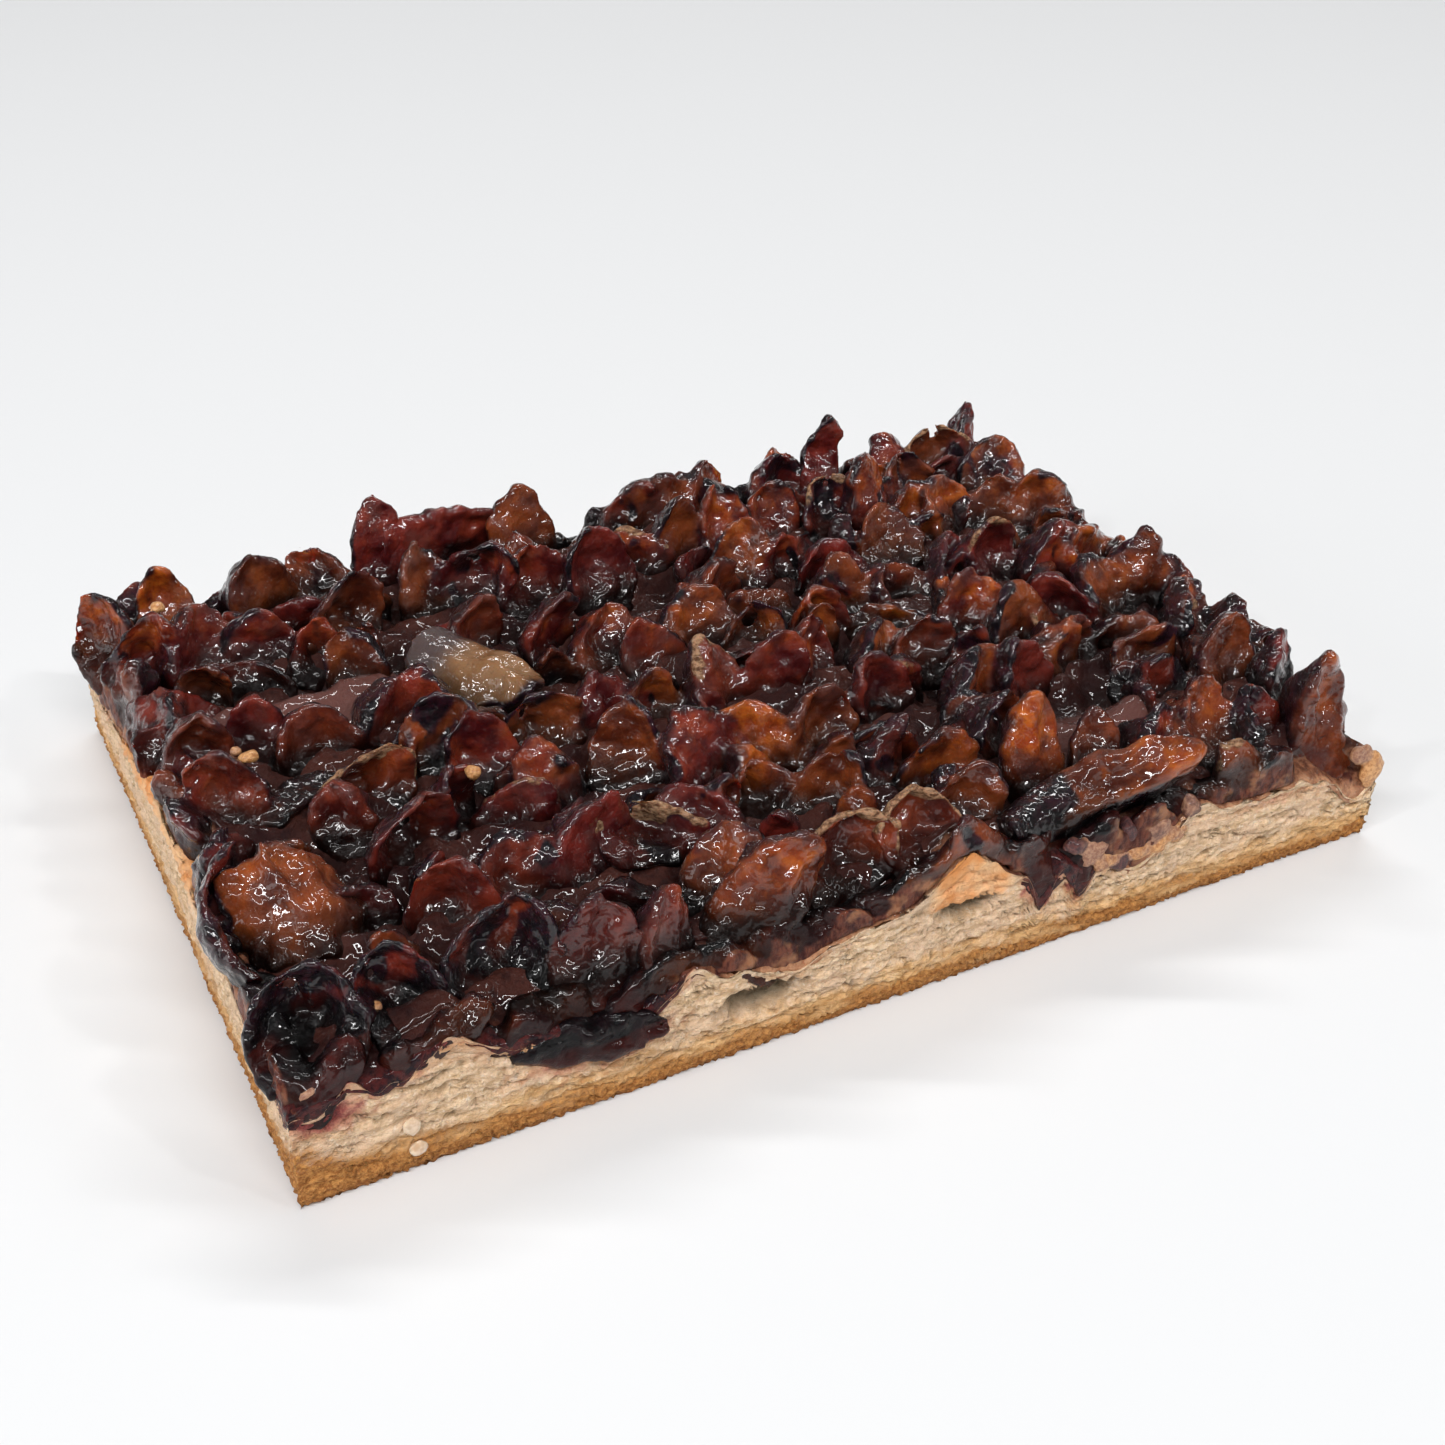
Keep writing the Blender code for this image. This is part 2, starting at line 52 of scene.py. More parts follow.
# The slab, as the solids have it
SLAB_LENGTH = 248.6
SLAB_DEPTH = 168.0
DOUGH_EDGE = 21.0
DOUGH_MIDDLE = 17.0
CRUST_HEIGHT = 5.0
GLAZE_LEVEL = 25.3
GLAZE_RIDGE = 1.8
GLAZE_WAVE = 0.8
GLAZE_DROP = 2.0
MIDDLE_INSET = 13.0
FLUSH_INSET = 0.5
CUT_RECESS = 0.35

# The rim of the glaze's top: how far inside the cuts it lies, its least height, how far it stands
# over the dough's edge and over what distance that fades, and the level of the glaze's underside
GLAZE_INSET = 6.6
RIM_LEAST = 24.5
RIM_STEP = 1.8
RIM_REACH = 5.0
GLAZE_BED = DOUGH_MIDDLE + 0.5

# How high the glaze creeps up a wedge, and over what distance that fades
CREEP_HEIGHT = 3.4
CREEP_REACH = 1.6

# Rises and dips of the dough's edge under the fruit: place along the cut, half width, height
FRONT_WAVES = [
    (11.0, 3.0, 4.5), (29.0, 7.0, 7.0), (60.0, 9.0, -9.0), (76.0, 4.5, 4.5), (98.0, 8.0, -4.0),
    (136.5, 9.0, 10.0), (156.0, 3.0, -9.0), (166.0, 3.2, -9.0), (180.0, 8.0, -8.0),
    (196.0, 4.5, 4.0), (243.0, 8.0, -10.0),
]
RIGHT_WAVES = [
    (8.0, 8.0, -5.0), (34.0, 8.0, 4.0), (60.0, 6.0, -5.0), (92.0, 12.0, 5.0), (130.0, 7.0, -6.0),
]
BACK_WAVES = [
    (30.0, 8.0, -5.0), (62.0, 9.0, 5.0), (104.0, 7.0, -6.0), (150.0, 12.0, 5.0), (200.0, 8.0, -5.0),
]
LEFT_WAVES = [
    (20.0, 4.0, -2.0), (45.0, 10.0, 6.0), (88.0, 22.0, 7.0), (122.0, 6.0, 2.0), (154.0, 11.0, -5.0),
]

# Bare dough beside the fruit on the left cut: place along the cut, half width, inset
LEFT_BARE = [(72.0, 5.0, 4.0), (104.0, 11.0, 6.5)]

# The four cuts in a run round the slab: start, direction, way in, length, way out in degrees, waves,
# bare dough, and whether places along the cut are measured from the run's end
CUTS = [
    ((0, 0), (1, 0), (0, 1), SLAB_LENGTH, -90, FRONT_WAVES, [], False),
    ((SLAB_LENGTH, 0), (0, 1), (-1, 0), SLAB_DEPTH, 0, RIGHT_WAVES, [], False),
    ((SLAB_LENGTH, SLAB_DEPTH), (-1, 0), (0, -1), SLAB_LENGTH, 90, BACK_WAVES, [], True),
    ((0, SLAB_DEPTH), (0, -1), (1, 0), SLAB_DEPTH, 180, LEFT_WAVES, LEFT_BARE, True),
]

# Dark juice that ran down the cuts: the stretch over which it ends on the front cut and on the left
# one, the middle and half width of the drips on the front cut, and its share on the other two cuts
FRONT_JUICE_END = (70, 84)
LEFT_JUICE_END = (26, 44)
DRIPS = (161, 13)
SIDE_JUICE = 0.35

# Hollows baked into the front cut: middle and half sizes
FRONT_HOLLOWS = [
    ((91.0, 12.5), (10.5, 3.7), 3.6),
    ((137.5, 17.5), (8.5, 2.3), 2.6),
]

# Rows of plum wedges
ROW_COUNT = 8
ROW_FIRST = 9.5
ROW_STEP = 21.3
WEDGE_STEP = 13.4
WEDGE_FOOT = 21.0
EDGE_MARGIN = 8.0
FEATURE_ROOM = 1.0
FEATURE_DEPTH_ROOM = 6.5
ROW_SEED = 34
POOL_ROOM = 2.0
POOLS = [((41.0, 110.0), (21.0, 8.5)), ((191.0, 33.0), (15.0, 8.0)), ((120.0, 121.0), (9.0, 5.0))]

# Lower pieces between the rows and along the cuts
FILL_SEED = 12
FILL_STEP = 14.5
FILL_FOOT = 21.5
FILL_DEPTH_ROOM = 5.0
EDGE_DEPTH_ROOM = 8.0
FILL_WIDTHS = {"finger": (8, 11), "arch": (18, 24), "lump": (11, 15)}
FILL_THICKS = {"finger": (7, 9), "arch": (7, 9), "lump": (9, 12)}
EDGE_FILL_STEP = 8.6
END_WEDGE_LEFT = 226
END_WEDGE_BACK = 16
BED_SINK = 2.2

# Mesh fineness
CUT_STEP = 0.72
CUT_LEVELS = 43
LEDGE_STEP = 3.7
BED_STEP = 1.25
GLAZE_LEVELS = 20
ROW_MESH = (40, 44)
FILL_MESH = (34, 36)
FEATURE_MESH = (60, 60)

# How the pieces melt into each other: size of the skin's faces, and rounds of filling up
ROW_SKIN = 0.85
FEATURE_SKIN = 0.76
CRUMB_SKIN = 0.55
ROW_ROUNDS = 10
FEATURE_ROUNDS = 4
CRUMB_ROUNDS = 6

# In each round, the share of the way that a hollow fills up and that a ridge sinks
HOLLOW_FILL = 0.9
RIDGE_FALL = 0.22

# Between these heights painted shade on the fruit lifts from dark to its full colour, and near a cut it
# keeps at least this share of its colour
LIGHT_HEIGHTS = (24.5, 37.5)
CUT_LIGHT = 0.34

# The camera, fitted to the slab's corners and measured like the rest
LENS = 44.33
SENSOR = 36.0
CAMERA_AT = (-39.05, -217.46, 241.60)
CAMERA_LOOKS_AT = (137.88, 104.70, 0.0)
CAMERA_ROLL = 1.629

# Half the floor's width, in metres
FLOOR = 4.0

# The glow of the surroundings: a soft one from above and a brighter one low down, each from one
# height share to another and with its strength at both
SKY_SHARES = [(0.05, 0.6, 0.12, 0.06), (0.0, 0.12, 0.78, 0.0)]

# The lights: name, place, width, depth, power and colour, all turned to one place, in metres
LIT_PLACE = (0, 0, 0.03)
LIGHTS = [
    ("strip_front", (-0.9, -1.5, 2.4), 3.6, 0.15, 82.0, (1, 1, 1)),
    ("side_left", (-2.6, 0.4, 0.95), 2.2, 1.0, 15.5, (0.98, 0.98, 1.0)),
    ("strip_back", (0.9, 1.6, 2.3), 2.4, 0.13, 32.0, (1, 1, 1)),
    ("strip_right", (2.3, -0.7, 2.0), 2.6, 0.08, 9.0, (1, 1, 1)),
    ("spot_left", (-2.2, -0.4, 1.9), 0.15, 0.15, 8.0, (1, 1, 1)),
    ("spot_right", (1.4, -1.9, 2.2), 0.15, 0.15, 9.0, (1, 1, 1)),
]


class Wedge:
    """One piece of plum, described by its foot, its tip and the way its flesh faces."""

    def __init__(self, foot, tip, width, thick, facing=-90.0, tilt=0.0, cup=0.3, bow=0.0, sharp=2.2):
        self.foot = np.array(foot, float)
        self.tip = np.array(tip, float)
        self.width = width
        self.thick = thick
        self.facing = math.radians(facing)
        self.tilt = math.radians(tilt)
        self.cup = cup
        self.bow = bow
        self.sharp = sharp


# Pieces that stand out, each within 5 mm of its solid. A facing of -90 looks at the front cut.
FEATURES = {
    "plum_corner_charred_left": Wedge((7.5, 8, 20), (9, 18, 39), 22, 12, -110, 15, 0.5, 0.1, 3.2),
    "plum_corner_charred_right": Wedge((25, 7, 21), (27, 16, 39), 18, 12, -80, 10, 0.5, 0.1, 3.0),
    "plum_glazed_oval": Wedge((15, 35, 23), (17, 52, 39.5), 26, 15, -95, 40, -0.25, 0.05, 4.0),
    "plum_skin_crescent": Wedge((4.5, 31, 25), (7.5, 54, 41), 15, 4.5, -20, 10, 0.35, 0.22, 3.0),
    "plum_front_blue_arc": Wedge((42, 8, 20.5), (45, 17, 41), 22, 11, -90, 10, 0.55, 0.1, 3.2),
    "plum_front_skin": Wedge((40, 3.1, 18), (71, 3.1, 16), 10, 6.5, -90, 10, 0.1, -0.05, 3.4),
    "plum_front_purple": Wedge((58, 6.5, 20), (62, 12, 41), 19, 12, -100, 0, 0.3, 0.05, 1.8),
    "plum_front_small": Wedge((73, 6, 20), (71.5, 10, 38), 14, 11, -75, 5, 0.3, 0.0, 1.8),
    "plum_front_long": Wedge((87, 6, 17), (106, 12, 41.5), 21, 14, -82, 24, 0.1, 0.1, 2.2),
    "plum_dry_arch_left": Wedge((112, 8, 21), (116, 14, 40), 20, 12, -85, 10, 0.45, 0.1, 3.6),
    "plum_dry_arch_right": Wedge((130, 8, 24), (132, 13, 41), 19, 12, -90, 5, 0.4, 0.1, 3.6),
    "plum_amber_finger": Wedge((167, 19, 22), (170, 28, 43.5), 16, 12, -95, 0, 0.1, 0.08, 1.9),
    "plum_amber_long": Wedge((150, 7, 27), (196, 6, 36.5), 14, 12, -90, 45, -0.1, 0.10, 5.0),
    "plum_end_wedge": Wedge((237, 7.5, 16), (233, 13, 43), 17, 13, -85, 0, 0.2, 0.05, 2.8),
    "plum_end_hook": Wedge((239, 24, 22), (242, 30, 40), 13, 8, -70, 0, 0.4, 0.12, 1.9),
    "plum_dry_crust": Wedge((83, 31, 26), (85, 37, 38), 23, 9, -90, 45, 0.3, 0.05, 4.0),
    "plum_skin_arc_left": Wedge((39, 50, 22), (43, 57, 40), 21, 8, -85, 10, 0.5, 0.1, 3.4),
    "plum_dry_rim": Wedge((37, 70, 23), (40, 77, 39), 21, 8, -90, 20, 0.45, 0.1, 3.8),
    "plum_pale_half": Wedge((68, 119, 31), (84, 89, 32.5), 20, 12, -100, 75, -0.15, 0.09, 2.4),
    "plum_grey_lobe": Wedge((214, 44, 23), (221, 50, 38), 17, 9, -75, 30, 0.2, 0.1, 3.0),
    "plum_back_spike": Wedge((194, 156, 23), (198, 164, 49), 12, 9, -90, 0, 0.15, 0.05, 1.5),
    "plum_back_slab_end": Wedge((74, 160, 23), (69.5, 165, 48.5), 15, 8, -90, 0, 0.15, 0.0, 2.4),
    "plum_back_slab": Wedge((72, 163, 33.5), (119, 165, 28), 23, 9, -90, 0, 0.15, 0.02, 3.0),
    "plum_corner_outer": Wedge((5, 149, 22), (0.5, 161, 41), 16, 7, -120, 0, 0.3, 0.1, 2.6),
    "plum_corner_amber": Wedge((19, 153, 22), (20, 163, 43), 15, 9, -95, 0, 0.2, 0.08, 1.8),
    "plum_tall_arch": Wedge((53, 134, 22), (57, 144, 42.5), 20, 9, -90, 5, 0.35, 0.1, 3.0),
    "plum_back_corner": Wedge((241, 157, 23), (246, 162, 43), 13, 8, -80, 0, 0.3, 0.08, 2.4),
    "plum_dark_arch": Wedge((186, 133, 22), (190, 141, 41), 20, 9, -90, 15, 0.5, 0.1, 3.4),
    "plum_red_flesh": Wedge((143, 73, 22), (146, 82, 41), 17, 9, -85, 5, 0.25, 0.08, 2.2),
}

# How each standing piece looks, from 0 to 1: red to brown tone, amber, charred, dry at the rim
FEATURE_LOOKS = {
    "plum_corner_charred_left": (0.2, 0.1, 1.0, 0.0),
    "plum_corner_charred_right": (0.2, 0.1, 0.9, 0.0),
    "plum_glazed_oval": (0.8, 0.3, 0.0, 0.0),
    "plum_skin_crescent": (0.1, 0.0, 0.75, 0.1),
    "plum_front_blue_arc": (0.4, 0.2, 0.85, 0.1),
    "plum_front_skin": (0.0, 0.0, 0.35, 0.0),
    "plum_front_purple": (0.4, 0.1, 0.4, 0.0),
    "plum_front_small": (0.4, 0.2, 0.35, 0.0),
    "plum_front_long": (0.6, 0.55, 0.0, 0.0),
    "plum_dry_arch_left": (0.5, 0.2, 0.05, 0.9),
    "plum_dry_arch_right": (0.5, 0.2, 0.05, 0.9),
    "plum_amber_finger": (0.6, 1.0, 0.0, 0.1),
    "plum_amber_long": (0.8, 0.55, 0.15, 0.0),
    "plum_end_wedge": (0.7, 0.35, 0.0, 0.0),
    "plum_end_hook": (0.2, 0.0, 0.6, 0.1),
    "plum_dry_crust": (0.3, 0.0, 0.6, 1.0),
    "plum_skin_arc_left": (0.3, 0.2, 0.3, 0.1),
    "plum_dry_rim": (0.5, 0.2, 0.2, 0.8),
    "plum_pale_half": (1.0, 0.3, 0.0, 0.0),
    "plum_grey_lobe": (0.9, 0.0, 0.5, 0.2),
    "plum_back_spike": (0.1, 0.1, 0.3, 0.0),
    "plum_back_slab_end": (0.1, 0.2, 0.2, 0.0),
    "plum_back_slab": (0.1, 0.3, 0.1, 0.0),
    "plum_corner_outer": (0.5, 0.6, 0.2, 0.3),
    "plum_corner_amber": (0.7, 0.8, 0.1, 0.1),
    "plum_tall_arch": (0.7, 0.2, 0.0, 0.0),
    "plum_back_corner": (0.3, 0.1, 0.5, 0.1),
    "plum_dark_arch": (0.4, 0.0, 0.8, 0.6),
    "plum_red_flesh": (0.1, 0.4, 0.0, 0.0),
}

# How far the flesh side is hollowed out, or ridged where it is below 0, as a share of the thickness
FEATURE_CARVE = {
    "plum_corner_charred_left": 1.3,
    "plum_corner_charred_right": 1.3,
    "plum_glazed_oval": -0.15,
    "plum_front_blue_arc": 1.4,
    "plum_front_skin": -0.2,
    "plum_front_purple": 0.4,
    "plum_front_small": 0.2,
    "plum_front_long": -0.7,
    "plum_dry_arch_left": 1.2,
    "plum_dry_arch_right": 1.2,
    "plum_amber_finger": -0.3,
    "plum_amber_long": -0.3,
    "plum_end_wedge": 0.3,
    "plum_skin_arc_left": 1.4,
    "plum_dry_rim": 1.3,
    "plum_pale_half": -0.4,
    "plum_tall_arch": 1.2,
    "plum_dark_arch": 1.4,
}

# Where pieces of the heap are amber, and where they are charred: x, y, radius and strength
AMBER_PLACES = [
    (10, 150, 14, 0.8), (120, 55, 9, 0.8), (113, 42, 8, 0.8), (135, 28, 9, 0.7), (165, 58, 9, 0.75),
    (148, 88, 10, 0.6), (95, 88, 9, 0.5), (230, 85, 14, 0.6), (175, 85, 9, 0.7), (128, 108, 8, 0.6),
    (70, 110, 6, 0.9), (200, 60, 9, 0.6), (30, 140, 8, 0.5), (215, 130, 10, 0.5),
]
CHAR_PLACES = [
    (50, 68, 10, 0.8), (20, 66, 7, 0.8), (20, 97, 7, 0.7), (42, 97, 6, 0.7), (102, 42, 6, 0.9),
    (110, 125, 9, 0.8), (92, 130, 7, 0.8), (215, 44, 10, 0.9), (238, 40, 7, 0.8), (235, 18, 7, 0.7),
    (135, 158, 8, 0.8), (30, 158, 8, 0.7), (55, 158, 7, 0.7), (240, 150, 6, 0.7), (190, 130, 8, 0.8),
    (60, 40, 7, 0.7), (150, 120, 7, 0.6), (92, 100, 6, 0.6),
]

# Juice soaked into the front cut: middle, half sizes and strength
FRONT_STAINS = [
    ((57.0, 14.0), (15.0, 4.0), 0.75), ((154.0, 19.0), (3.5, 5.5), 0.95), ((165.0, 15.5), (3.5, 4.5), 0.95),
    ((178.0, 16.5), (7.0, 3.5), 0.5), ((6.0, 19.5), (8.0, 4.0), 0.9), ((38.0, 23.5), (7.0, 3.0), 0.5),
    ((222.0, 19.5), (26.0, 2.6), 0.42), ((100.0, 19.5), (14.0, 2.2), 0.4),
]

# Crumbs at the front cut: middle, half sizes and warmth, from 0 for dark to 1 for golden
CRUMBS = [
    ((168.0, 1.2, 21.5), (3.6, 1.8, 3.0), 0.5), ((172.5, 1.2, 17.5), (4.6, 1.6, 2.6), 0.7),
    ((178.0, 2.6, 22.5), (2.5, 2.0, 2.4), 0.1), ((181.0, 1.2, 17.0), (4.6, 1.6, 2.6), 0.75),
    ((185.5, 1.4, 21.5), (3.4, 1.8, 3.2), 0.35), ((190.0, 1.2, 18.6), (4.0, 1.6, 2.6), 0.7),
    ((176.0, 0.6, 15.6), (2.0, 1.2, 1.8), 0.05), ((186.0, 0.4, 16.8), (1.4, 1.1, 1.9), 0.85),
    ((163.0, 1.2, 24.0), (2.2, 1.6, 1.8), 0.2), ((194.0, 1.6, 24.0), (2.6, 1.8, 2.4), 0.3),
    ((4.0, 1.7, 25.0), (1.4, 0.9, 0.7), 0.5), ((5.2, 1.7, 25.5), (0.9, 0.7, 0.9), 0.45),
    ((20.0, 1.8, 24.0), (1.5, 0.9, 0.8), 0.3), ((246.5, 0.6, 18.5), (3.4, 1.4, 4.0), 1.0),
    ((242.0, 1.0, 23.0), (2.6, 1.6, 2.4), 0.6),
]

# Crumbs that lie on the fruit: place, half sizes and warmth
TOP_CRUMBS = [
    ((4.8, 147.6), (2.0, 1.7, 1.3), 0.95),
    ((14.9, 141.8), (1.7, 1.6, 1.2), 0.95),
    ((18.0, 81.0), (2.2, 1.6, 1.3), 0.9),
    ((57.0, 60.0), (1.8, 2.0, 1.5), 0.95),
    ((9.0, 152.0), (1.5, 1.3, 1.1), 0.8),
    ((16.5, 84.5), (1.4, 1.3, 1.0), 0.7),
    ((20.0, 12.0), (1.4, 1.2, 1.0), 0.7),
]

# Drops of clear glaze on the front cut: middle and half sizes
GLAZE_DROPS = [((21.1, 0.35, 10.9), (1.6, 0.8, 2.0)), ((21.8, 0.35, 5.2), (1.8, 0.9, 1.6))]

# Share of the width that a piece has at its foot, and where that differs
USUAL_FOOT = 0.74
FEATURE_FOOT = {
    "plum_amber_long": 0.55,
    "plum_front_skin": 0.3,
    "plum_end_wedge": 0.9,
    "plum_front_long": 0.85,
}


# Numbers and surfaces

def ripples(points, wavelength, seed, count=22):
    """Smooth noise, mostly between -1 and 1: a sum of sine waves that run in random directions.

    The wavelength is one number, or one for each axis where the noise is drawn out.
    """
    draw = np.random.default_rng(seed)
    axes = points.shape[-1]
    directions = draw.normal(size=(count, axes))
    directions /= np.linalg.norm(directions, axis=1, keepdims=True)
    steps = directions * 2 * np.pi / draw.uniform(0.7, 1.5, (count, 1))
    phases = draw.uniform(0, 2 * np.pi, count)
    scaled = points / np.asarray(wavelength, float)
    return np.sin(scaled @ steps.T + phases).sum(-1) * math.sqrt(2 / count) * 0.7


def smooth_step(value, low, high):
    """0 below low, 1 above high, and an even curve between."""
    t = np.clip((value - low) / (high - low), 0, 1)
    return t * t * (3 - 2 * t)


def unit(vectors):
    """Vectors of length 1."""
    return vectors / np.maximum(np.linalg.norm(vectors, axis=-1, keepdims=True), 1e-9)


def wave_sum(place, waves):
    """Sum of bell shaped waves, each given by its place, half width and height."""
    total = np.zeros_like(place)
    for middle, half, height in waves:
        total = total + height * np.exp(-((place - middle) / half) ** 2)
    return total


def front_soaking(x):
    """1 along the front cut where dark juice ran down it: at its left end and round the two drips."""
    drips = np.exp(-((x - DRIPS[0]) / DRIPS[1]) ** 4)
    return np.maximum(1 - smooth_step(x, *FRONT_JUICE_END), drips)


def slab_corner():
    """Where the slab's front left bottom corner lies, read from the tip of the back spike."""
    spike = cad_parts["plum_back_spike"]
    highest = max(spike.data.vertices, key=lambda vertex: vertex.co.z).co
    tip = FEATURES["plum_back_spike"].tip * MM
    return np.array([highest.x - tip[0], highest.y - tip[1], 0.0])


CORNER = slab_corner()


def wrapped_faces(rows, columns, start=0):
    """Quads of a grid whose columns run round and close on themselves."""
    row = np.arange(rows - 1)[:, None] * columns
    here = np.arange(columns)[None, :]
    after = (here + 1) % columns
    quads = np.stack([row + here, row + after, row + columns + after, row + columns + here], -1)
    return quads.reshape(-1, 4) + start


def fan_faces(ring, centre, outward):
    """Triangles from a ring of points to one point."""
    after = np.roll(ring, -1)
    middle = np.full_like(ring, centre)
    return np.stack([after, ring, middle], -1) if outward else np.stack([ring, after, middle], -1)


def mesh_piece(name, points, quads, triangles, material, values=None):
    """A piece from arrays in millimetres, with its values kept as attributes on its points."""
    mesh = bpy.data.meshes.new(name)
    count = len(points)
    mesh.vertices.add(count)
    mesh.vertices.foreach_set("co", (points * MM + CORNER).astype(np.float32).ravel())
    loops = np.concatenate([quads.ravel(), triangles.ravel()]).astype(np.int32)
    sizes = np.concatenate([np.full(len(quads), 4), np.full(len(triangles), 3)]).astype(np.int32)
    starts = np.concatenate([[0], np.cumsum(sizes)[:-1]]).astype(np.int32)
    mesh.loops.add(len(loops))
    mesh.loops.foreach_set("vertex_index", loops)
    mesh.polygons.add(len(sizes))
    mesh.polygons.foreach_set("loop_start", starts)
    mesh.update(calc_edges=True)
    mesh.validate()
    for label, data in (values or {}).items():
        layer = mesh.attributes.new(label, "FLOAT", "POINT")
        layer.data.foreach_set("value", data.astype(np.float32).ravel())
    mesh.shade_smooth()
    mesh.materials.append(material)
    piece = bpy.data.objects.new(name, mesh)
    bpy.context.scene.collection.objects.link(piece)
    return piece


def dressed(piece, slot, *nodes):
    """The piece, riding the part's one body in place of its nodes. Its slot is not used."""
    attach(piece, "root")
    if nodes:
        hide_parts(*nodes)
    return piece


# Material building

class Nodes:
    """A node material under construction."""

    def __init__(self, name):
        self.material = bpy.data.materials.new(name)
        self.material.use_nodes = True
        self.tree = self.material.node_tree
        self.shader = self.tree.nodes["Principled BSDF"]
        self.place = self.add("ShaderNodeTexCoord").outputs["Object"]

    def add(self, kind, **settings):
        """A new node with its settings."""
        node = self.tree.nodes.new(kind)
        for key, value in settings.items():
            setattr(node, key, value)
        return node

    def link(self, source, target):
        """Join an output, or set a number or colour, on an input."""
        if isinstance(source, bpy.types.NodeSocket):
            self.tree.links.new(source, target)
        elif isinstance(source, tuple):
            target.default_value = (*source, 1.0)[:len(target.default_value)]
        else:
            target.default_value = source

    def value(self, label):
        """A value kept on the piece's points."""
        return self.add("ShaderNodeAttribute", attribute_name=label).outputs["Fac"]

    def noise(self, wavelength, detail=3.0, rough=0.55, stretch=None, distortion=0.0):
        """Noise of a wavelength in millimetres, drawn out along an axis if asked."""
        node = self.add("ShaderNodeTexNoise")
        place = self.place
        if stretch:
            mapping = self.add("ShaderNodeMapping")
            self.link(place, mapping.inputs["Vector"])
            mapping.inputs["Scale"].default_value = stretch
            place = mapping.outputs["Vector"]
        self.link(place, node.inputs["Vector"])
        node.inputs["Scale"].default_value = 1 / (wavelength * MM)
        node.inputs["Detail"].default_value = detail
        node.inputs["Roughness"].default_value = rough
        node.inputs["Distortion"].default_value = distortion
        return node.outputs["Fac"]

    def math(self, operation, first, second=0.0, clamp=False):
        """One arithmetic node."""
        node = self.add("ShaderNodeMath", operation=operation, use_clamp=clamp)
        self.link(first, node.inputs[0])
        self.link(second, node.inputs[1])
        return node.outputs[0]

    def between(self, value, low, high, to_low=0.0, to_high=1.0):
        """The value, mapped smoothly from one range to another and kept within it."""
        node = self.add("ShaderNodeMapRange", interpolation_type="SMOOTHSTEP")
        self.link(value, node.inputs["Value"])
        numbers = {"From Min": low, "From Max": high, "To Min": to_low, "To Max": to_high}
        for label, number in numbers.items():
            node.inputs[label].default_value = number
        return node.outputs["Result"]

    def mix(self, share, first, second, blend="MIX"):
        """A mix of two colours."""
        node = self.add("ShaderNodeMix", data_type="RGBA", blend_type=blend)
        self.link(share, node.inputs[0])
        self.link(first, node.inputs[6])
        self.link(second, node.inputs[7])
        return node.outputs[2]

    def by_height(self, low, high, least):
        """A share that grows from least to 1 between two heights in millimetres."""
        split = self.add("ShaderNodeSeparateXYZ")
        self.link(self.place, split.inputs[0])
        return self.between(split.outputs["Z"], low * MM, high * MM, least, 1.0)

    def shifted(self, value, noise, amount):
        """The value, moved up and down by a noise that runs from 0 to 1."""
        return self.math("ADD", value, self.math("MULTIPLY", self.math("SUBTRACT", noise, 0.5), amount))

    def darkened(self, colour, share):
        """The colour times a share."""
        grey = self.add("ShaderNodeCombineColor")
        for channel in range(3):
            self.link(share, grey.inputs[channel])
        return self.mix(1.0, colour, grey.outputs[0], "MULTIPLY")

    def bump(self, height, depth, strength=1.0, base=None):
        """A bump of a depth in millimetres."""
        node = self.add("ShaderNodeBump")
        node.inputs["Strength"].default_value = strength
        node.inputs["Distance"].default_value = depth * MM
        self.link(height, node.inputs["Height"])
        if base:
            self.link(base, node.inputs["Normal"])
        return node.outputs["Normal"]

    def finish(self, **sockets):
        """Set the shader's sockets by name and give back the material."""
        for label, source in sockets.items():
            self.link(source, self.shader.inputs[label.replace("_", " ")])
        return self.material


def flesh_colour(m, blotch, patch, fibre, pale):
    """Plum flesh: maroon to brown, amber in blotches, with a painted mauve sheen here and there, and
    fibres.

    The pale half is tan with a grey head instead.
    """
    tone = m.value("tone")
    amber = m.value("amber")
    maroon = m.mix(m.between(blotch, 0.35, 0.65), (0.058, 0.005, 0.006), (0.200, 0.023, 0.016))
    brown = m.mix(m.between(blotch, 0.35, 0.65), (0.072, 0.012, 0.005), (0.225, 0.050, 0.014))
    flesh = m.mix(m.between(tone, 0.2, 0.8), maroon, brown)
    orange = m.mix(m.between(patch, 0.35, 0.7), (0.26, 0.036, 0.004), (0.55, 0.135, 0.012))
    ambered = m.math("ADD", blotch, m.math("MULTIPLY", amber, 0.22))
    ambered = m.math("MULTIPLY", amber, m.between(ambered, 0.48, 0.74))
    flesh = m.mix(ambered, flesh, orange)
    # Painted sheen: a mauve grey film of reflection laid over the flesh here and there.
    painted_sheen = m.math("MULTIPLY", m.between(m.noise(7.0, 3.0, 0.5), 0.50, 0.68), 0.5)
    flesh = m.mix(painted_sheen, flesh, (0.105, 0.039, 0.034))
    if pale:
        tan = m.mix(m.between(blotch, 0.3, 0.7), (0.20, 0.090, 0.036), (0.28, 0.145, 0.068))
        flesh = m.mix(m.value("head"), tan, (0.085, 0.058, 0.055))
    return m.mix(m.between(fibre, 0.55, 0.8), flesh, m.mix(0.5, flesh, (0.02, 0.005, 0.004)))


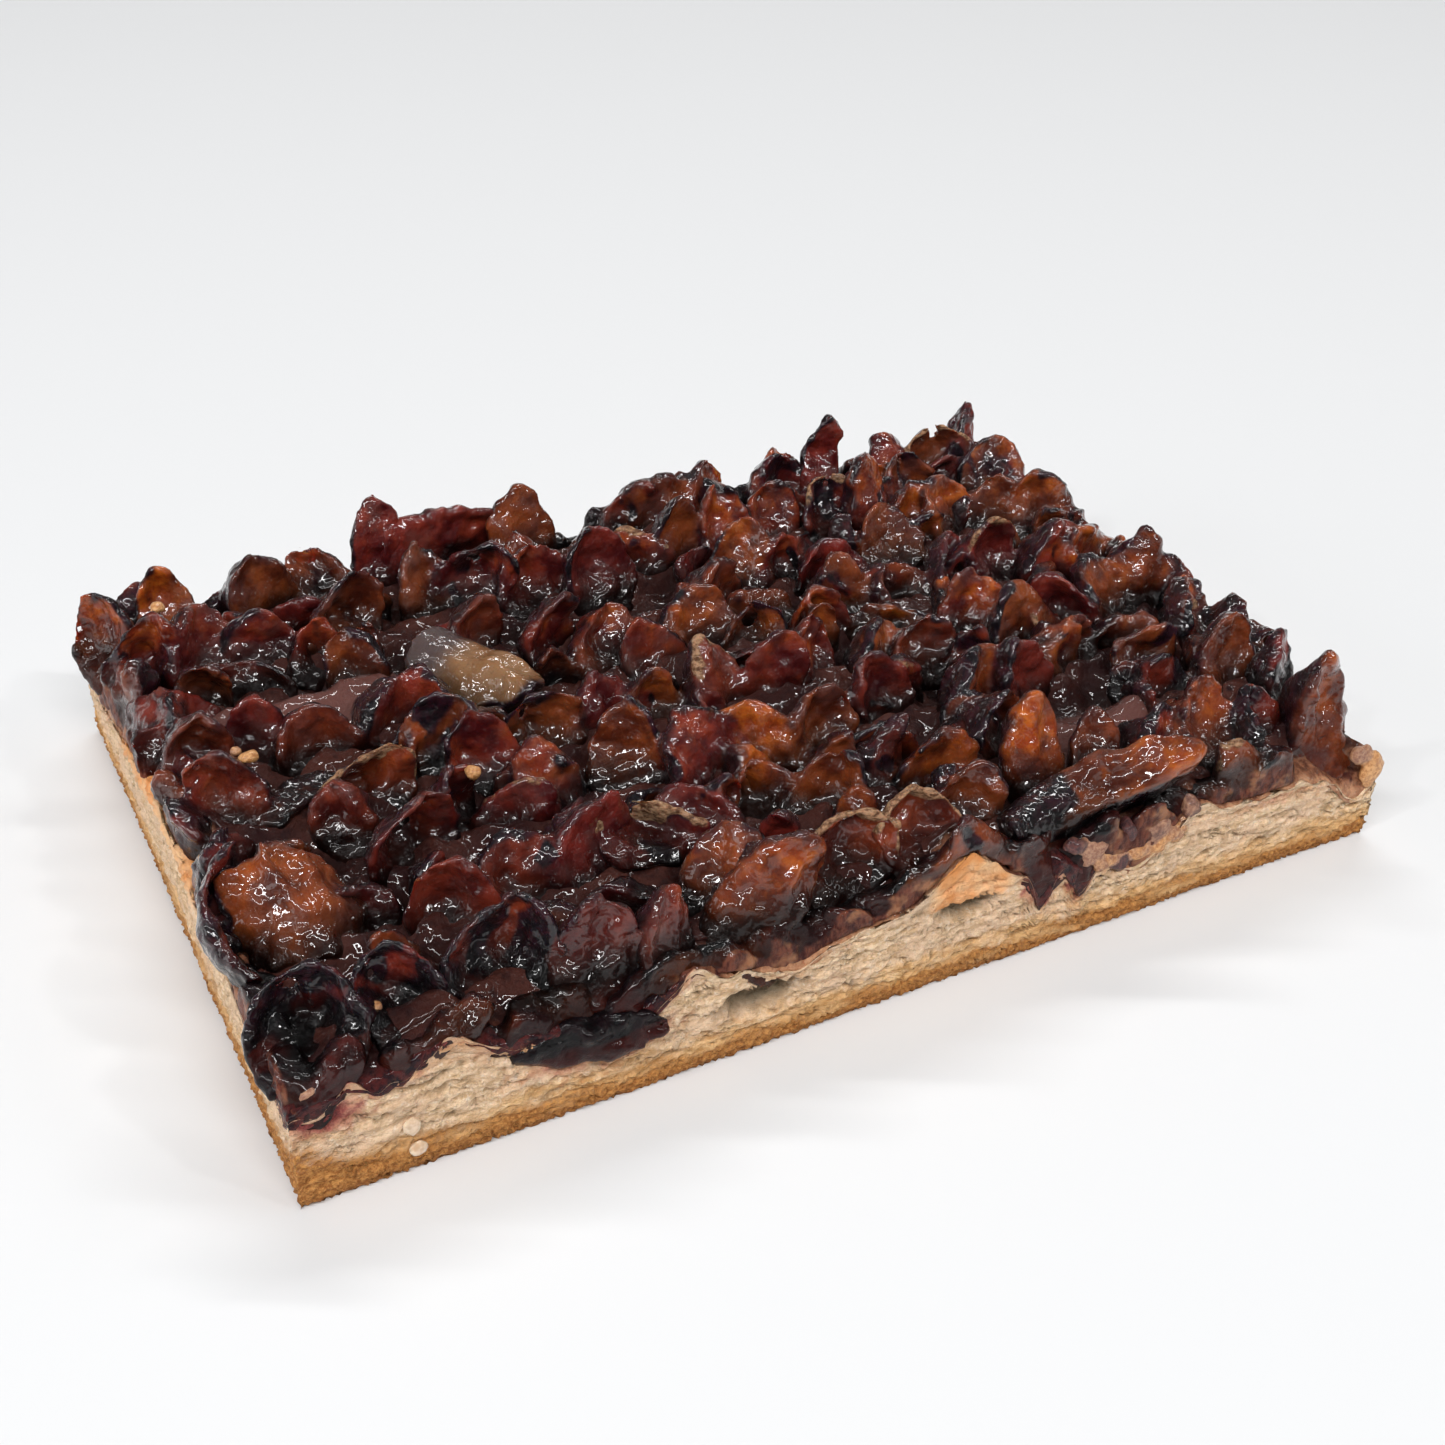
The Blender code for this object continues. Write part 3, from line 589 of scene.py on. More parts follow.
def plum_material(name="glazed_plum", pale=False):
    """Baked plum under glaze: flesh, blue black skin, tan dry rims, and strands where it is cut, with
    painted shade deep between the pieces.
    """
    m = Nodes(name)
    blotch = m.noise(9.0, 4.0, 0.6)
    patch = m.noise(3.2, 4.0, 0.6)
    fibre = m.noise(1.1, 3.0, 0.7)
    flesh = flesh_colour(m, blotch, patch, fibre, pale)
    dark = m.mix(m.between(patch, 0.4, 0.65), (0.006, 0.004, 0.006), (0.030, 0.007, 0.013))
    bloom = m.mix(m.between(m.noise(2.0, 3.0, 0.6), 0.60, 0.78), dark, (0.022, 0.026, 0.030))
    dark_rim = m.between(m.value("rim"), 0.3, 0.75)
    skin_share = m.math("MAXIMUM", m.math("MULTIPLY", m.value("skin"), 0.95), dark_rim)
    charred = m.between(m.shifted(m.value("char"), blotch, 1.0), 0.42, 0.72)
    skin_share = m.math("MAXIMUM", skin_share, charred, clamp=True)
    colour = m.mix(skin_share, flesh, bloom)
    wood = m.noise(1.3, 4.0, 0.7, stretch=(0.6, 1.0, 1.6))
    tan_rim = m.mix(m.between(wood, 0.36, 0.62), (0.085, 0.036, 0.018), (0.40, 0.235, 0.135))
    dry_share = m.between(m.shifted(m.value("dry"), patch, 0.8), 0.42, 0.62)
    colour = m.mix(dry_share, colour, tan_rim)
    # Painted shade: the colour darkens deep down between the pieces as the open value falls.
    colour = m.darkened(colour, m.between(m.value("open"), 0.08, 1.0, 0.03, 1.0))
    strand = m.noise(1.5, 4.0, 0.65, stretch=(1.0, 1.0, 0.3))
    cut_flesh = m.mix(m.between(strand, 0.36, 0.64), (0.045, 0.010, 0.009), (0.18, 0.058, 0.034))
    cut_flesh = m.mix(m.between(m.noise(6.0, 3.0, 0.6), 0.48, 0.66), cut_flesh, (0.36, 0.165, 0.085))
    cut_share = m.between(m.shifted(m.value("cut"), patch, 0.8), 0.3, 0.75)
    colour = m.mix(m.math("MULTIPLY", cut_share, 0.85), colour, cut_flesh)
    wave = m.noise(3.2, 1.0, 0.4, distortion=0.6)
    fine = m.noise(1.7, 1.0, 0.5)
    coat_normal = m.bump(fine, 0.2, 1.0, m.bump(wave, 1.3, 1.0))
    normal = m.bump(fibre, 0.25, 1.0, m.bump(patch, 0.5, 1.0))
    coat = m.by_height(22.0, 33.0, 0.25)
    for bare, amount in ((dry_share, 0.9), (cut_share, 0.6)):
        left = m.math("SUBTRACT", 1.0, m.math("MULTIPLY", bare, amount))
        coat = m.math("MULTIPLY", coat, left, clamp=True)
    return m.finish(
        Base_Color=colour,
        Normal=normal,
        Roughness=m.between(dry_share, 0.0, 1.0, 0.36, 0.75),
        Coat_Normal=coat_normal,
        Coat_Weight=coat,
        Coat_Roughness=0.02,
        Coat_IOR=1.48,
        Specular_IOR_Level=0.12,
        Subsurface_Weight=0.28,
        Subsurface_Radius=(1.0, 0.28, 0.12),
        Subsurface_Scale=0.003,
    )


def glaze_material():
    """The layer of juice and glaze between the wedges: dark red brown, painted greyish mauve sheen where it
    pools, and painted shade lower down.
    """
    m = Nodes("plum_glaze")
    blotch = m.noise(16.0, 4.0, 0.6)
    patch = m.noise(4.0, 4.0, 0.6)
    colour = m.mix(m.between(blotch, 0.35, 0.65), (0.020, 0.004, 0.004), (0.070, 0.020, 0.014))
    colour = m.mix(m.between(patch, 0.5, 0.75), colour, (0.012, 0.003, 0.004))
    pool_sheen = m.value("pool")
    # Painted sheen: the smooth pools are painted a paler greyish mauve.
    colour = m.mix(m.math("MULTIPLY", pool_sheen, 0.9), colour, (0.150, 0.060, 0.050))
    side = m.value("side")
    crumb = m.noise(2.2, 5.0, 0.7)
    jam = m.mix(m.between(crumb, 0.38, 0.60), (0.010, 0.003, 0.006), (0.085, 0.014, 0.013))
    jam = m.mix(m.between(m.noise(3.4, 4.0, 0.7), 0.58, 0.72), jam, (0.20, 0.060, 0.030))
    pulp = m.mix(m.between(crumb, 0.36, 0.62), (0.10, 0.030, 0.016), (0.36, 0.150, 0.078))
    pulp = m.mix(m.between(m.noise(7.0, 3.0, 0.6), 0.50, 0.66), pulp, (0.055, 0.012, 0.010))
    jam = m.mix(m.value("juice"), pulp, jam)
    hem = m.shifted(m.value("hem"), patch, 0.9)
    peach = m.mix(m.between(crumb, 0.36, 0.62), (0.40, 0.165, 0.080), (0.62, 0.330, 0.185))
    jam = m.mix(m.between(hem, 0.35, 0.85, 0.0, 0.9), jam, peach)
    # Painted shade: the glaze's top darkens lower down between the pieces.
    colour = m.mix(side, m.darkened(colour, m.by_height(20.0, 27.0, 0.3)), jam)
    wave = m.bump(m.noise(4.8, 1.0, 0.4, distortion=0.5), 1.4, 1.0)
    return m.finish(
        Base_Color=colour,
        Normal=m.bump(crumb, 1.2, 1.0),
        Roughness=0.4,
        Coat_Normal=m.bump(m.noise(1.9, 1.0, 0.5), 0.2, 1.0, wave),
        Coat_Weight=m.between(side, 0.0, 1.0, 1.0, 0.35),
        Coat_Roughness=0.03,
        Coat_IOR=1.36,
        Specular_IOR_Level=0.12,
        Subsurface_Weight=0.15,
        Subsurface_Radius=(1.0, 0.35, 0.2),
        Subsurface_Scale=0.003,
    )


def dough_material():
    """Cut yeast dough: cream with drawn out flakes, golden brown at the bottom, juice stains on top,
    painted highlights on the flakes and painted shade in cracks, under ledges and in the hollows.
    """
    m = Nodes("baked_dough")
    crust = m.value("crust")
    stain = m.value("stain")
    peach = m.value("peach")
    hollow = m.value("hollow")
    flake = m.noise(2.2, 4.0, 0.65)
    grain = m.noise(0.9, 3.0, 0.7)
    broad = m.noise(14.0, 3.0, 0.6)
    streak = m.noise(2.2, 5.0, 0.68, stretch=(0.5, 0.5, 1.5))
    crumb = m.noise(1.5, 4.0, 0.7)
    cream = m.mix(m.between(streak, 0.36, 0.62), (0.65, 0.425, 0.235), (0.98, 0.725, 0.490))
    cream = m.mix(m.between(crumb, 0.52, 0.70, 0.0, 0.55), cream, (0.54, 0.325, 0.165))
    # Painted highlights: pale flecks on the flakes.
    cream = m.mix(m.between(crumb, 0.30, 0.46, 0.85, 0.0), cream, (0.97, 0.82, 0.66))
    cream = m.mix(m.math("MULTIPLY", m.between(broad, 0.4, 0.65), 0.5), cream, (0.80, 0.55, 0.39))
    cream = m.mix(m.between(grain, 0.55, 0.75, 0.0, 0.35), cream, (0.42, 0.28, 0.13))
    golden = m.mix(m.between(streak, 0.36, 0.62), (0.52, 0.245, 0.065), (0.90, 0.550, 0.240))
    gold = m.shifted(m.value("gold"), flake, 0.9)
    cream = m.mix(m.between(gold, 0.15, 0.95, 0.0, 0.85), cream, golden)
    # Painted shade: dark in the cracks and under the ledges.
    cream = m.mix(m.between(m.value("groove_shade"), 0.25, 1.0, 0.0, 0.7), cream, (0.27, 0.165, 0.075))
    brown = m.mix(m.between(grain, 0.30, 0.70), (0.30, 0.105, 0.022), (0.66, 0.310, 0.090))
    brown = m.mix(m.math("MULTIPLY", m.value("low"), 0.6), brown, (0.22, 0.075, 0.018))
    edge = m.shifted(m.shifted(crust, streak, 1.3), grain, 0.6)
    colour = m.mix(m.between(edge, 0.1, 0.9), cream, brown)
    ragged = m.shifted(stain, flake, 0.7)
    pink = m.mix(m.between(broad, 0.4, 0.6), (0.60, 0.25, 0.17), (0.66, 0.33, 0.15))
    colour = m.mix(m.between(ragged, 0.08, 0.55, 0.0, 0.8), colour, pink)
    colour = m.mix(m.between(ragged, 0.45, 0.80), colour, (0.30, 0.07, 0.06))
    colour = m.mix(m.between(ragged, 0.70, 1.0), colour, (0.075, 0.014, 0.020))
    orange = m.shifted(peach, broad, 0.5)
    apricot = m.mix(m.between(broad, 0.42, 0.6), (0.88, 0.34, 0.105), (0.97, 0.58, 0.31))
    colour = m.mix(m.between(orange, 0.25, 0.7), colour, apricot)
    # Painted shade: dark olive grey inside the baked hollows.
    colour = m.mix(m.math("MULTIPLY", hollow, 0.85), colour, (0.13, 0.105, 0.062))
    return m.finish(
        Base_Color=colour,
        Normal=m.bump(grain, 0.6, 1.0, m.bump(streak, 1.0, 1.0)),
        Roughness=0.72,
        Specular_IOR_Level=0.25,
        Subsurface_Weight=0.12,
        Subsurface_Radius=(1.0, 0.6, 0.35),
        Subsurface_Scale=0.0015,
    )


# The dough and the glaze

def cut_outline(step):
    """Points round the cut with the dough's edge height, the fruit's inset and the inward direction."""
    runs = []
    for start, along, inward, length, _, waves, bare, backwards in CUTS:
        run = np.arange(round(length / step)) * length / round(length / step)
        place = length - run if backwards else run
        columns = [
            start[0] + along[0] * run,
            start[1] + along[1] * run,
            DOUGH_EDGE + wave_sum(place, waves),
            FLUSH_INSET + wave_sum(place, bare),
            np.full_like(run, inward[0]),
            np.full_like(run, inward[1]),
        ]
        runs.append(np.stack(columns, -1))
    outline = np.concatenate(runs)
    inward = outline[:, 4:6]
    softened = sum(np.roll(inward, shift, 0) for shift in (-1, 0, 1))
    most = np.abs(softened).max(1, keepdims=True)
    outline[:, 4:6] = np.where(np.abs(softened) > 0.1, softened / most, 0)
    return outline


def shrunk(places, inset):
    """Places moved towards the slab's middle, in proportion, so that the cut edge moves by the inset."""
    middle = np.array([SLAB_LENGTH, SLAB_DEPTH]) / 2
    return middle + (places - middle) * (1 - inset / middle)


def face_relief(place, height, spot, on_front):
    """How far the dough's face is pushed in, how much painted shade its cracks and ledges get, and where
    its hollows are.

    It is pushed in by drawn out flakes and ledges, by thin cracks, by fine grain in the crust and
    by the baked hollows. A ledge deepens as it climbs and then springs back.
    """
    room = np.concatenate([np.broadcast_to(place, height.shape + (2,)), height[..., None]], -1)
    wavy = height + 0.8 * ripples(spot, (26.0, 9.0), 5)
    layered = np.stack([spot[..., 0], wavy], -1)
    flakes = ripples(layered, (10.0, 2.5), 7, 40)
    thin = ripples(layered, (3.4, 1.2), 8, 40)
    crack = np.exp(-(ripples(layered, (18.0, 2.0), 18, 40) / 0.10) ** 2)
    crack = crack * smooth_step(ripples(spot, (20.0, 5.0), 19), -0.1, 0.5)
    layer = wavy / LEDGE_STEP + 0.9 * ripples(spot, (15.0, 5.0), 21)
    climbed = layer - np.floor(layer)
    ledge = climbed ** 1.4 * (1 - smooth_step(climbed, 0.84, 1.0))
    ledge = ledge * smooth_step(ripples(spot, (11.0, 4.0), 22), -0.5, 0.5)
    grain = ripples(room, 1.3, 9, 40)
    crust = 1 - smooth_step(height + 0.7 * ripples(spot, 3.0, 11), CRUST_HEIGHT - 2.0, CRUST_HEIGHT + 0.6)
    relief = (1 - crust) * (0.26 * flakes + 0.24 * thin + 0.5 * crack + 1.1 * ledge)
    relief = relief + (0.18 + 0.30 * crust) * grain
    hollow = np.zeros_like(height)
    for (along, level), (half, tall), depth in FRONT_HOLLOWS:
        far = ((place[:, 0][None, :] - along) / half) ** 2 + ((height - level) / tall) ** 2
        far = far * (1 + 0.25 * ripples(spot, 4.0, 13))
        pushed = depth * (1 - smooth_step(far, 0.25, 1.1)) * on_front
        hollow = np.maximum(hollow, pushed / depth)
        relief = relief + pushed
    # Painted shade in the cracks, under the ledges and a little in the flakes, left out of the hollows.
    groove_shade = (crack + 1.0 * ledge + 0.15 * np.clip(flakes, 0, 1)) * (1 - crust) * (hollow < 0.3)
    return relief, groove_shade, hollow


def face_browning(place, height, spot):
    """How far the dough's face is crust brown, and how far golden, from its bottom up."""
    from_corner = place.sum(1)[None, :]
    near_corner = 0.8 * np.exp(-(from_corner / 36.0) ** 2) + 1.2 * np.exp(-(from_corner / 6.0) ** 2)
    rise = CRUST_HEIGHT - 0.4 + 3.6 * near_corner + 1.2 * ripples(spot, (14.0, 4.0), 12)
    brownness = 1 - smooth_step(height, rise - 3.2, rise + 2.6 + 3 * near_corner)
    gold = 1 - smooth_step(height + 1.2 * ripples(spot, (18.0, 6.0), 23), 3.5, 13.0)
    return brownness, gold


def face_stains(place, inward, edge, height, spot):
    """How far the dough's face is stained by juice under the fruit, and how far it is apricot."""
    on_front = (inward[:, 1] > 0.5)[None, :]
    on_left = (inward[:, 0] > 0.5)[None, :]
    along_front = place[:, 0][None, :]
    along_left = place[:, 1][None, :]
    from_edge = edge - height
    peach_front = np.exp(-((along_front - 138) / 10) ** 4) * smooth_step(height, 16.5, 20.0) * on_front
    peach_left = np.exp(-((along_left - 96) / 34) ** 4) * smooth_step(from_edge, 7, 1) * on_left
    peach = np.maximum(peach_front, peach_left)
    run = spot[0, :, 0]
    stain_width = 1.9 + 1.6 * np.clip(ripples(run[:, None], 22.0, 17), -0.6, 1)[None, :]
    stain = np.exp(-from_edge / stain_width)
    stain = stain * (1 - 0.8 * np.clip(peach * 1.4, 0, 1))
    stain = stain * (0.26 + 0.56 * np.where(on_front, front_soaking(along_front), 0.3))
    for (along, level), (half, tall), strength in FRONT_STAINS:
        far = ((along_front - along) / half) ** 2 + ((height - level) / tall) ** 2
        stain = np.maximum(stain, strength * np.exp(-far * (1 + 0.3 * ripples(spot, 3.0, 33))) * on_front)
    return stain, peach


def make_dough(material):
    """The dough: one profile carried round the cut, up its face and in under the fruit."""
    outline = cut_outline(CUT_STEP)
    count = len(outline)
    place = outline[:, :2]
    edge = outline[:, 2] + 0.5 * ripples(place, 6.0, 3)
    inset = outline[:, 3]
    inward = outline[:, 4:6]
    height = np.linspace(0, 1, CUT_LEVELS)[:, None] * edge[None, :]
    run = np.arange(count) * CUT_STEP
    spot = np.stack([np.broadcast_to(run, height.shape), height], -1)
    relief, groove_shade, hollow = face_relief(place, height, spot, (inward[:, 1] > 0.5)[None, :])
    brownness, gold = face_browning(place, height, spot)
    stain, peach = face_stains(place, inward, edge, height, spot)
    rounding = 0.9 * np.exp(-height / 0.8) + 0.15 * np.exp(-(edge - height) / 0.7)
    push = CUT_RECESS + np.clip(relief, -0.6, 8) + rounding
    face = np.concatenate([place + inward * push[..., None], height[..., None]], -1)
    tuck = np.linspace(0.12, 1, 14)[:, None]
    first = place + inward * inset[:, None]
    last = shrunk(place, MIDDLE_INSET)
    twice = tuck[..., None] * 2
    top_place = np.where(twice < 1, place + (first - place) * twice, first + (last - first) * (twice - 1))
    fall = smooth_step(tuck, 0.5, 1.0)
    fall = np.where(inset > 1.5, fall, np.maximum(fall, 0.35 * smooth_step(tuck, 0.2, 0.5)))
    top_height = edge + (DOUGH_MIDDLE - edge) * fall + 0.35 * ripples(top_place, 4.0, 15)
    top = np.concatenate([top_place, top_height[..., None]], -1)
    top[..., 2] = np.minimum(top[..., 2], edge + 0.4)
    under = np.concatenate([shrunk(place, 6.0), np.zeros((count, 1))], -1)[None]
    grid = np.concatenate([under, face, top])
    rows = len(grid)
    poles = [[SLAB_LENGTH / 2, SLAB_DEPTH / 2, 0.0], [SLAB_LENGTH / 2, SLAB_DEPTH / 2, DOUGH_MIDDLE]]
    points = np.concatenate([grid.reshape(-1, 3), poles])
    quads = wrapped_faces(rows, count)
    low = np.arange(count)
    triangles = np.concatenate([
        fan_faces(low, rows * count, True),
        fan_faces(low + (rows - 1) * count, rows * count + 1, False),
    ])

    def padded(values, below=0.0, above=0.0):
        """The face's values, with those of the ring below it and of the top beyond it."""
        parts = [np.full((1, count), below), values, np.broadcast_to(above, (len(top), count))]
        return np.concatenate([np.concatenate(parts).ravel(), [below, 0.0]])

    values = {
        "crust": padded(brownness, 1.0),
        "low": padded(np.exp(-height / 1.6), 1.0),
        "stain": padded(stain, above=0.45 * stain[-1:]),
        "peach": padded(peach, above=np.maximum(peach[-1:], 0.6 * (inset[None, :] > 1.5))),
        "hollow": padded(hollow),
        "gold": padded(gold, 1.0),
        "groove_shade": padded(groove_shade),
    }
    piece = mesh_piece("cut_dough", points, quads, triangles, material, values)
    return dressed(piece, "dough", "dough")


def from_cuts(x, y):
    """How far a place lies inside the nearest of the four cuts."""
    return np.minimum(np.minimum(x, SLAB_LENGTH - x), np.minimum(y, SLAB_DEPTH - y))


def glaze_height(x, y):
    """The glaze's level: higher under the rows, uneven, and lower towards the cut edges."""
    rows = np.cos(2 * np.pi * (y - ROW_FIRST) / ROW_STEP)
    uneven = np.sin(x * 0.11 + 1.3) * np.cos(y * 0.13) + 0.5 * np.sin(x * 0.31 + y * 0.23)
    drop = GLAZE_DROP * np.exp(-from_cuts(x, y) / 3.0)
    return GLAZE_LEVEL + GLAZE_RIDGE * rows + GLAZE_WAVE * uneven - drop


def pool_share(x, y):
    """1 in the open pools of glaze, 0 away from them."""
    share = np.zeros_like(x)
    for (px, py), (rx, ry) in POOLS:
        share = np.maximum(share, 1 - smooth_step(((x - px) / rx) ** 2 + ((y - py) / ry) ** 2, 0.8, 2.2))
    return share


def soaked_share(x, y):
    """1 where dark juice ran down the cuts, 0 where pale flesh and dough show."""
    front = front_soaking(x) * (1 - smooth_step(y, 2, 9))
    left = (1 - smooth_step(y, *LEFT_JUICE_END)) * (1 - smooth_step(x, 2, 9))
    return np.maximum(front, left)


def border_height(x, y, bare):
    """The dough's edge height on the nearest of the four cuts."""
    gaps = np.stack([y, SLAB_LENGTH - x, SLAB_DEPTH - y, x - bare])
    heights = np.stack([
        wave_sum(x, FRONT_WAVES),
        wave_sum(y, RIGHT_WAVES),
        wave_sum(x, BACK_WAVES),
        wave_sum(y, LEFT_WAVES),
    ])
    weights = np.exp(-gaps / 1.5)
    return DOUGH_EDGE + (heights * weights).sum(0) / np.maximum(weights.sum(0), 1e-9)


def creeping_glaze(x, y, wedges):
    """How far the glaze creeps up beside each wedge, over the slab."""
    creep = np.zeros_like(x)
    for wedge in wedges:
        share = (GLAZE_LEVEL - wedge.foot[2]) / max(wedge.tip[2] - wedge.foot[2], 1.0)
        if not 0 < share < 1:
            continue
        spot = wedge.foot + (wedge.tip - wedge.foot) * share
        near = np.abs(x - spot[0]) + np.abs(y - spot[1]) < wedge.width * 1.2 + 6
        dx = x[near] - spot[0]
        dy = y[near] - spot[1]
        side = -dx * math.sin(wedge.facing) + dy * math.cos(wedge.facing)
        out = dx * math.cos(wedge.facing) + dy * math.sin(wedge.facing)
        far = np.hypot(side / (wedge.width * 0.47), out / (wedge.thick * 0.45)) - 1
        climb = CREEP_HEIGHT * np.exp(-np.clip(far * wedge.thick * 0.45, 0, 50) / CREEP_REACH)
        creep[near] = np.maximum(creep[near], climb)
    return creep


def glaze_sides(rim, along_x, along_y, to_front, to_back, to_left, to_right):
    """The rings of the glaze's sides, the level of each on its way down, and where juice soaked them.

    The sides run from the rim of the glaze's top out to the cut and end in a ragged hem, which laps
    over the dough where juice ran down it and slips behind its face elsewhere.
    """
    bare = wave_sum(along_y, LEFT_BARE) * to_left
    cut_x = np.where(to_left, FLUSH_INSET + bare, np.where(to_right, SLAB_LENGTH - FLUSH_INSET, along_x))
    cut_y = np.where(to_front, FLUSH_INSET, np.where(to_back, SLAB_DEPTH - FLUSH_INSET, along_y))
    cut_place = np.stack([cut_x, cut_y], -1)
    side_edge = np.where(to_left, wave_sum(along_y, LEFT_WAVES), wave_sum(along_y, RIGHT_WAVES))
    back_edge = np.where(to_back, wave_sum(along_x, BACK_WAVES), side_edge)
    edge = DOUGH_EDGE + np.where(to_front, wave_sum(along_x, FRONT_WAVES), back_edge)
    outward = np.stack([to_right * 1.0 - to_left, to_back * 1.0 - to_front], -1)
    lapped = 0.3 + 1.1 * np.abs(ripples(cut_place, 5.0, 23)) + 0.3 * ripples(cut_place, 1.6, 24)
    side_soaked = np.where(to_left, 1 - smooth_step(along_y, *LEFT_JUICE_END), SIDE_JUICE)
    soaked = np.where(to_front, front_soaking(along_x), side_soaked)
    hidden = 0.9 + 0.5 * np.abs(ripples(cut_place, 4.0, 26))
    ragged = edge + 0.5 - (0.5 + lapped) * soaked - (0.5 + hidden) * (1 - soaked)
    levels = np.linspace(0, 1, GLAZE_LEVELS)[:, None]
    drop = rim[:, 2] + (ragged - rim[:, 2]) * levels
    spread = np.broadcast_to(cut_place, levels.shape[:1] + cut_place.shape)
    room = np.concatenate([spread, drop[..., None]], -1)
    bulge = 1.0 * soaked - 1.1 + 1.0 * ripples(room, (8.0, 8.0, 8.0), 25)
    bulge = bulge + 0.5 * ripples(room, 2.6, 27) + 0.3 * ripples(room, 1.3, 28)
    arch = np.sin(np.pi * np.clip(levels / 0.82, 0, 1))
    reach = smooth_step(levels, 0.0, 0.9 - 0.3 * soaked)
    swell = 0.35 * soaked * smooth_step(levels, 0.5, 0.9) + np.clip(bulge, -4.0, 0.8) * arch
    skirt_place = rim[:, :2] + (cut_place - rim[:, :2]) * reach[..., None] + outward * swell[..., None]
    skirt = np.concatenate([skirt_place, drop[..., None]], -1)[1:]
    tuck = np.concatenate([cut_place - outward * 3.0, (ragged - 0.6)[:, None]], -1)[None]
    deep_ring = np.concatenate([shrunk(cut_place, 14.0), np.full((len(cut_place), 1), GLAZE_BED)], -1)[None]
    return np.concatenate([skirt, tuck, deep_ring]), levels[1:, 0], soaked


def make_glaze(material, wedges):
    """The glaze: a height over the slab that creeps up each wedge, with lumpy sides down to the dough."""
    across = round(SLAB_LENGTH / BED_STEP)
    deep = round(SLAB_DEPTH / BED_STEP)
    gx, gy = np.meshgrid(np.linspace(0, 1, across), np.linspace(0, 1, deep))
    inset = GLAZE_INSET
    left = inset + wave_sum(gy * SLAB_DEPTH, LEFT_BARE)
    x = left + gx * (SLAB_LENGTH - inset - left)
    y = inset + gy * (SLAB_DEPTH - 2 * inset)
    pool = pool_share(x, y)
    plan = np.stack([x, y], -1)
    height = glaze_height(x, y) + (0.8 * ripples(plan, 8.0, 21) - BED_SINK) * (1 - pool)
    across_cut = np.minimum(x - left, SLAB_LENGTH - inset - x)
    from_cut = np.minimum(across_cut, np.minimum(y - inset, SLAB_DEPTH - inset - y))
    wanted = np.maximum(RIM_LEAST, border_height(x, y, left - inset) + RIM_STEP)
    wanted = wanted + 1.0 * ripples(plan, 9.0, 29)
    height = height + np.maximum(wanted - height, 0) * np.exp(-(from_cut / RIM_REACH) ** 2)
    height = height + creeping_glaze(x, y, wedges) * (0.25 + 0.75 * smooth_step(from_cut, 0, 5))
    top = np.stack([x, y, height], -1)
    boundary = np.concatenate([
        np.arange(across),
        np.arange(1, deep) * across + across - 1,
        (deep - 1) * across + np.arange(across - 2, -1, -1),
        np.arange(deep - 2, 0, -1) * across,
    ])
    rim = top.reshape(-1, 3)[boundary]
    to_front = rim[:, 1] < inset + 0.01
    to_back = rim[:, 1] > SLAB_DEPTH - inset - 0.01
    to_left = boundary % across == 0
    to_right = boundary % across == across - 1
    along_x = gx.ravel()[boundary] * SLAB_LENGTH
    along_y = gy.ravel()[boundary] * SLAB_DEPTH
    lower, levels, soaked = glaze_sides(rim, along_x, along_y, to_front, to_back, to_left, to_right)
    columns = len(boundary)
    offset = across * deep
    row = np.arange(deep - 1)[:, None] * across
    here = np.arange(across - 1)[None, :]
    first = row + here
    top_quads = np.stack([first, first + 1, first + 1 + across, first + across], -1).reshape(-1, 4)
    after = np.roll(np.arange(columns), -1)
    seam = np.stack([offset + np.arange(columns), offset + after, boundary[after], boundary], -1)
    side_quads = wrapped_faces(len(lower), columns, offset)[:, ::-1]
    centre = offset + lower.shape[0] * columns
    triangles = fan_faces(offset + (lower.shape[0] - 1) * columns + np.arange(columns), centre, True)
    middle = [[SLAB_LENGTH / 2, SLAB_DEPTH / 2, GLAZE_BED]]
    points = np.concatenate([top.reshape(-1, 3), lower.reshape(-1, 3), middle])

    def on_sides(values, last):
        """Values of the rings below the rim, with none on the top and one at the middle below."""
        rings = np.broadcast_to(values, (len(lower), columns))
        return np.concatenate([np.zeros(offset), rings.ravel(), [last]])

    below_rim = np.concatenate([smooth_step(levels, 0.1, 0.5), [1, 1]])[:, None]
    lowness = np.concatenate([smooth_step(levels, 0.45, 1.0), [1, 1]])[:, None]
    values = {
        "side": on_sides(below_rim, 1),
        "pool": np.concatenate([pool.ravel(), np.zeros(len(points) - offset)]),
        "juice": on_sides(soaked, 0),
        "hem": on_sides(lowness * (1 - soaked), 0),
    }
    quads = np.concatenate([top_quads, seam, side_quads])
    piece = mesh_piece("glaze_layer", points, quads, triangles, material, values)
    return dressed(piece, "plum", "plum_layer")


# The plum pieces

def in_pool(x, y):
    """Whether a place lies in one of the open pools of glaze, or close beside it."""
    return any(
        ((x - px) / (rx + POOL_ROOM)) ** 2 + ((y - py) / (ry + POOL_ROOM)) ** 2 < 1
        for (px, py), (rx, ry) in POOLS
    )


def taken(x, y, depth_room, side_room=0.0):
    """Whether a place is taken by one of the standing pieces, with some room round it."""
    for wedge in FEATURES.values():
        run = wedge.tip[:2] - wedge.foot[:2]
        share = np.dot((x, y) - wedge.foot[:2], run) / max(run.dot(run), 1e-6)
        spot = wedge.foot[:2] + run * min(max(share, 0.0), 1.0)
        reach = wedge.width / 2 + side_room
        if math.hypot((x - spot[0]) / reach, (y - spot[1]) / depth_room) < 1:
            return True
    return False


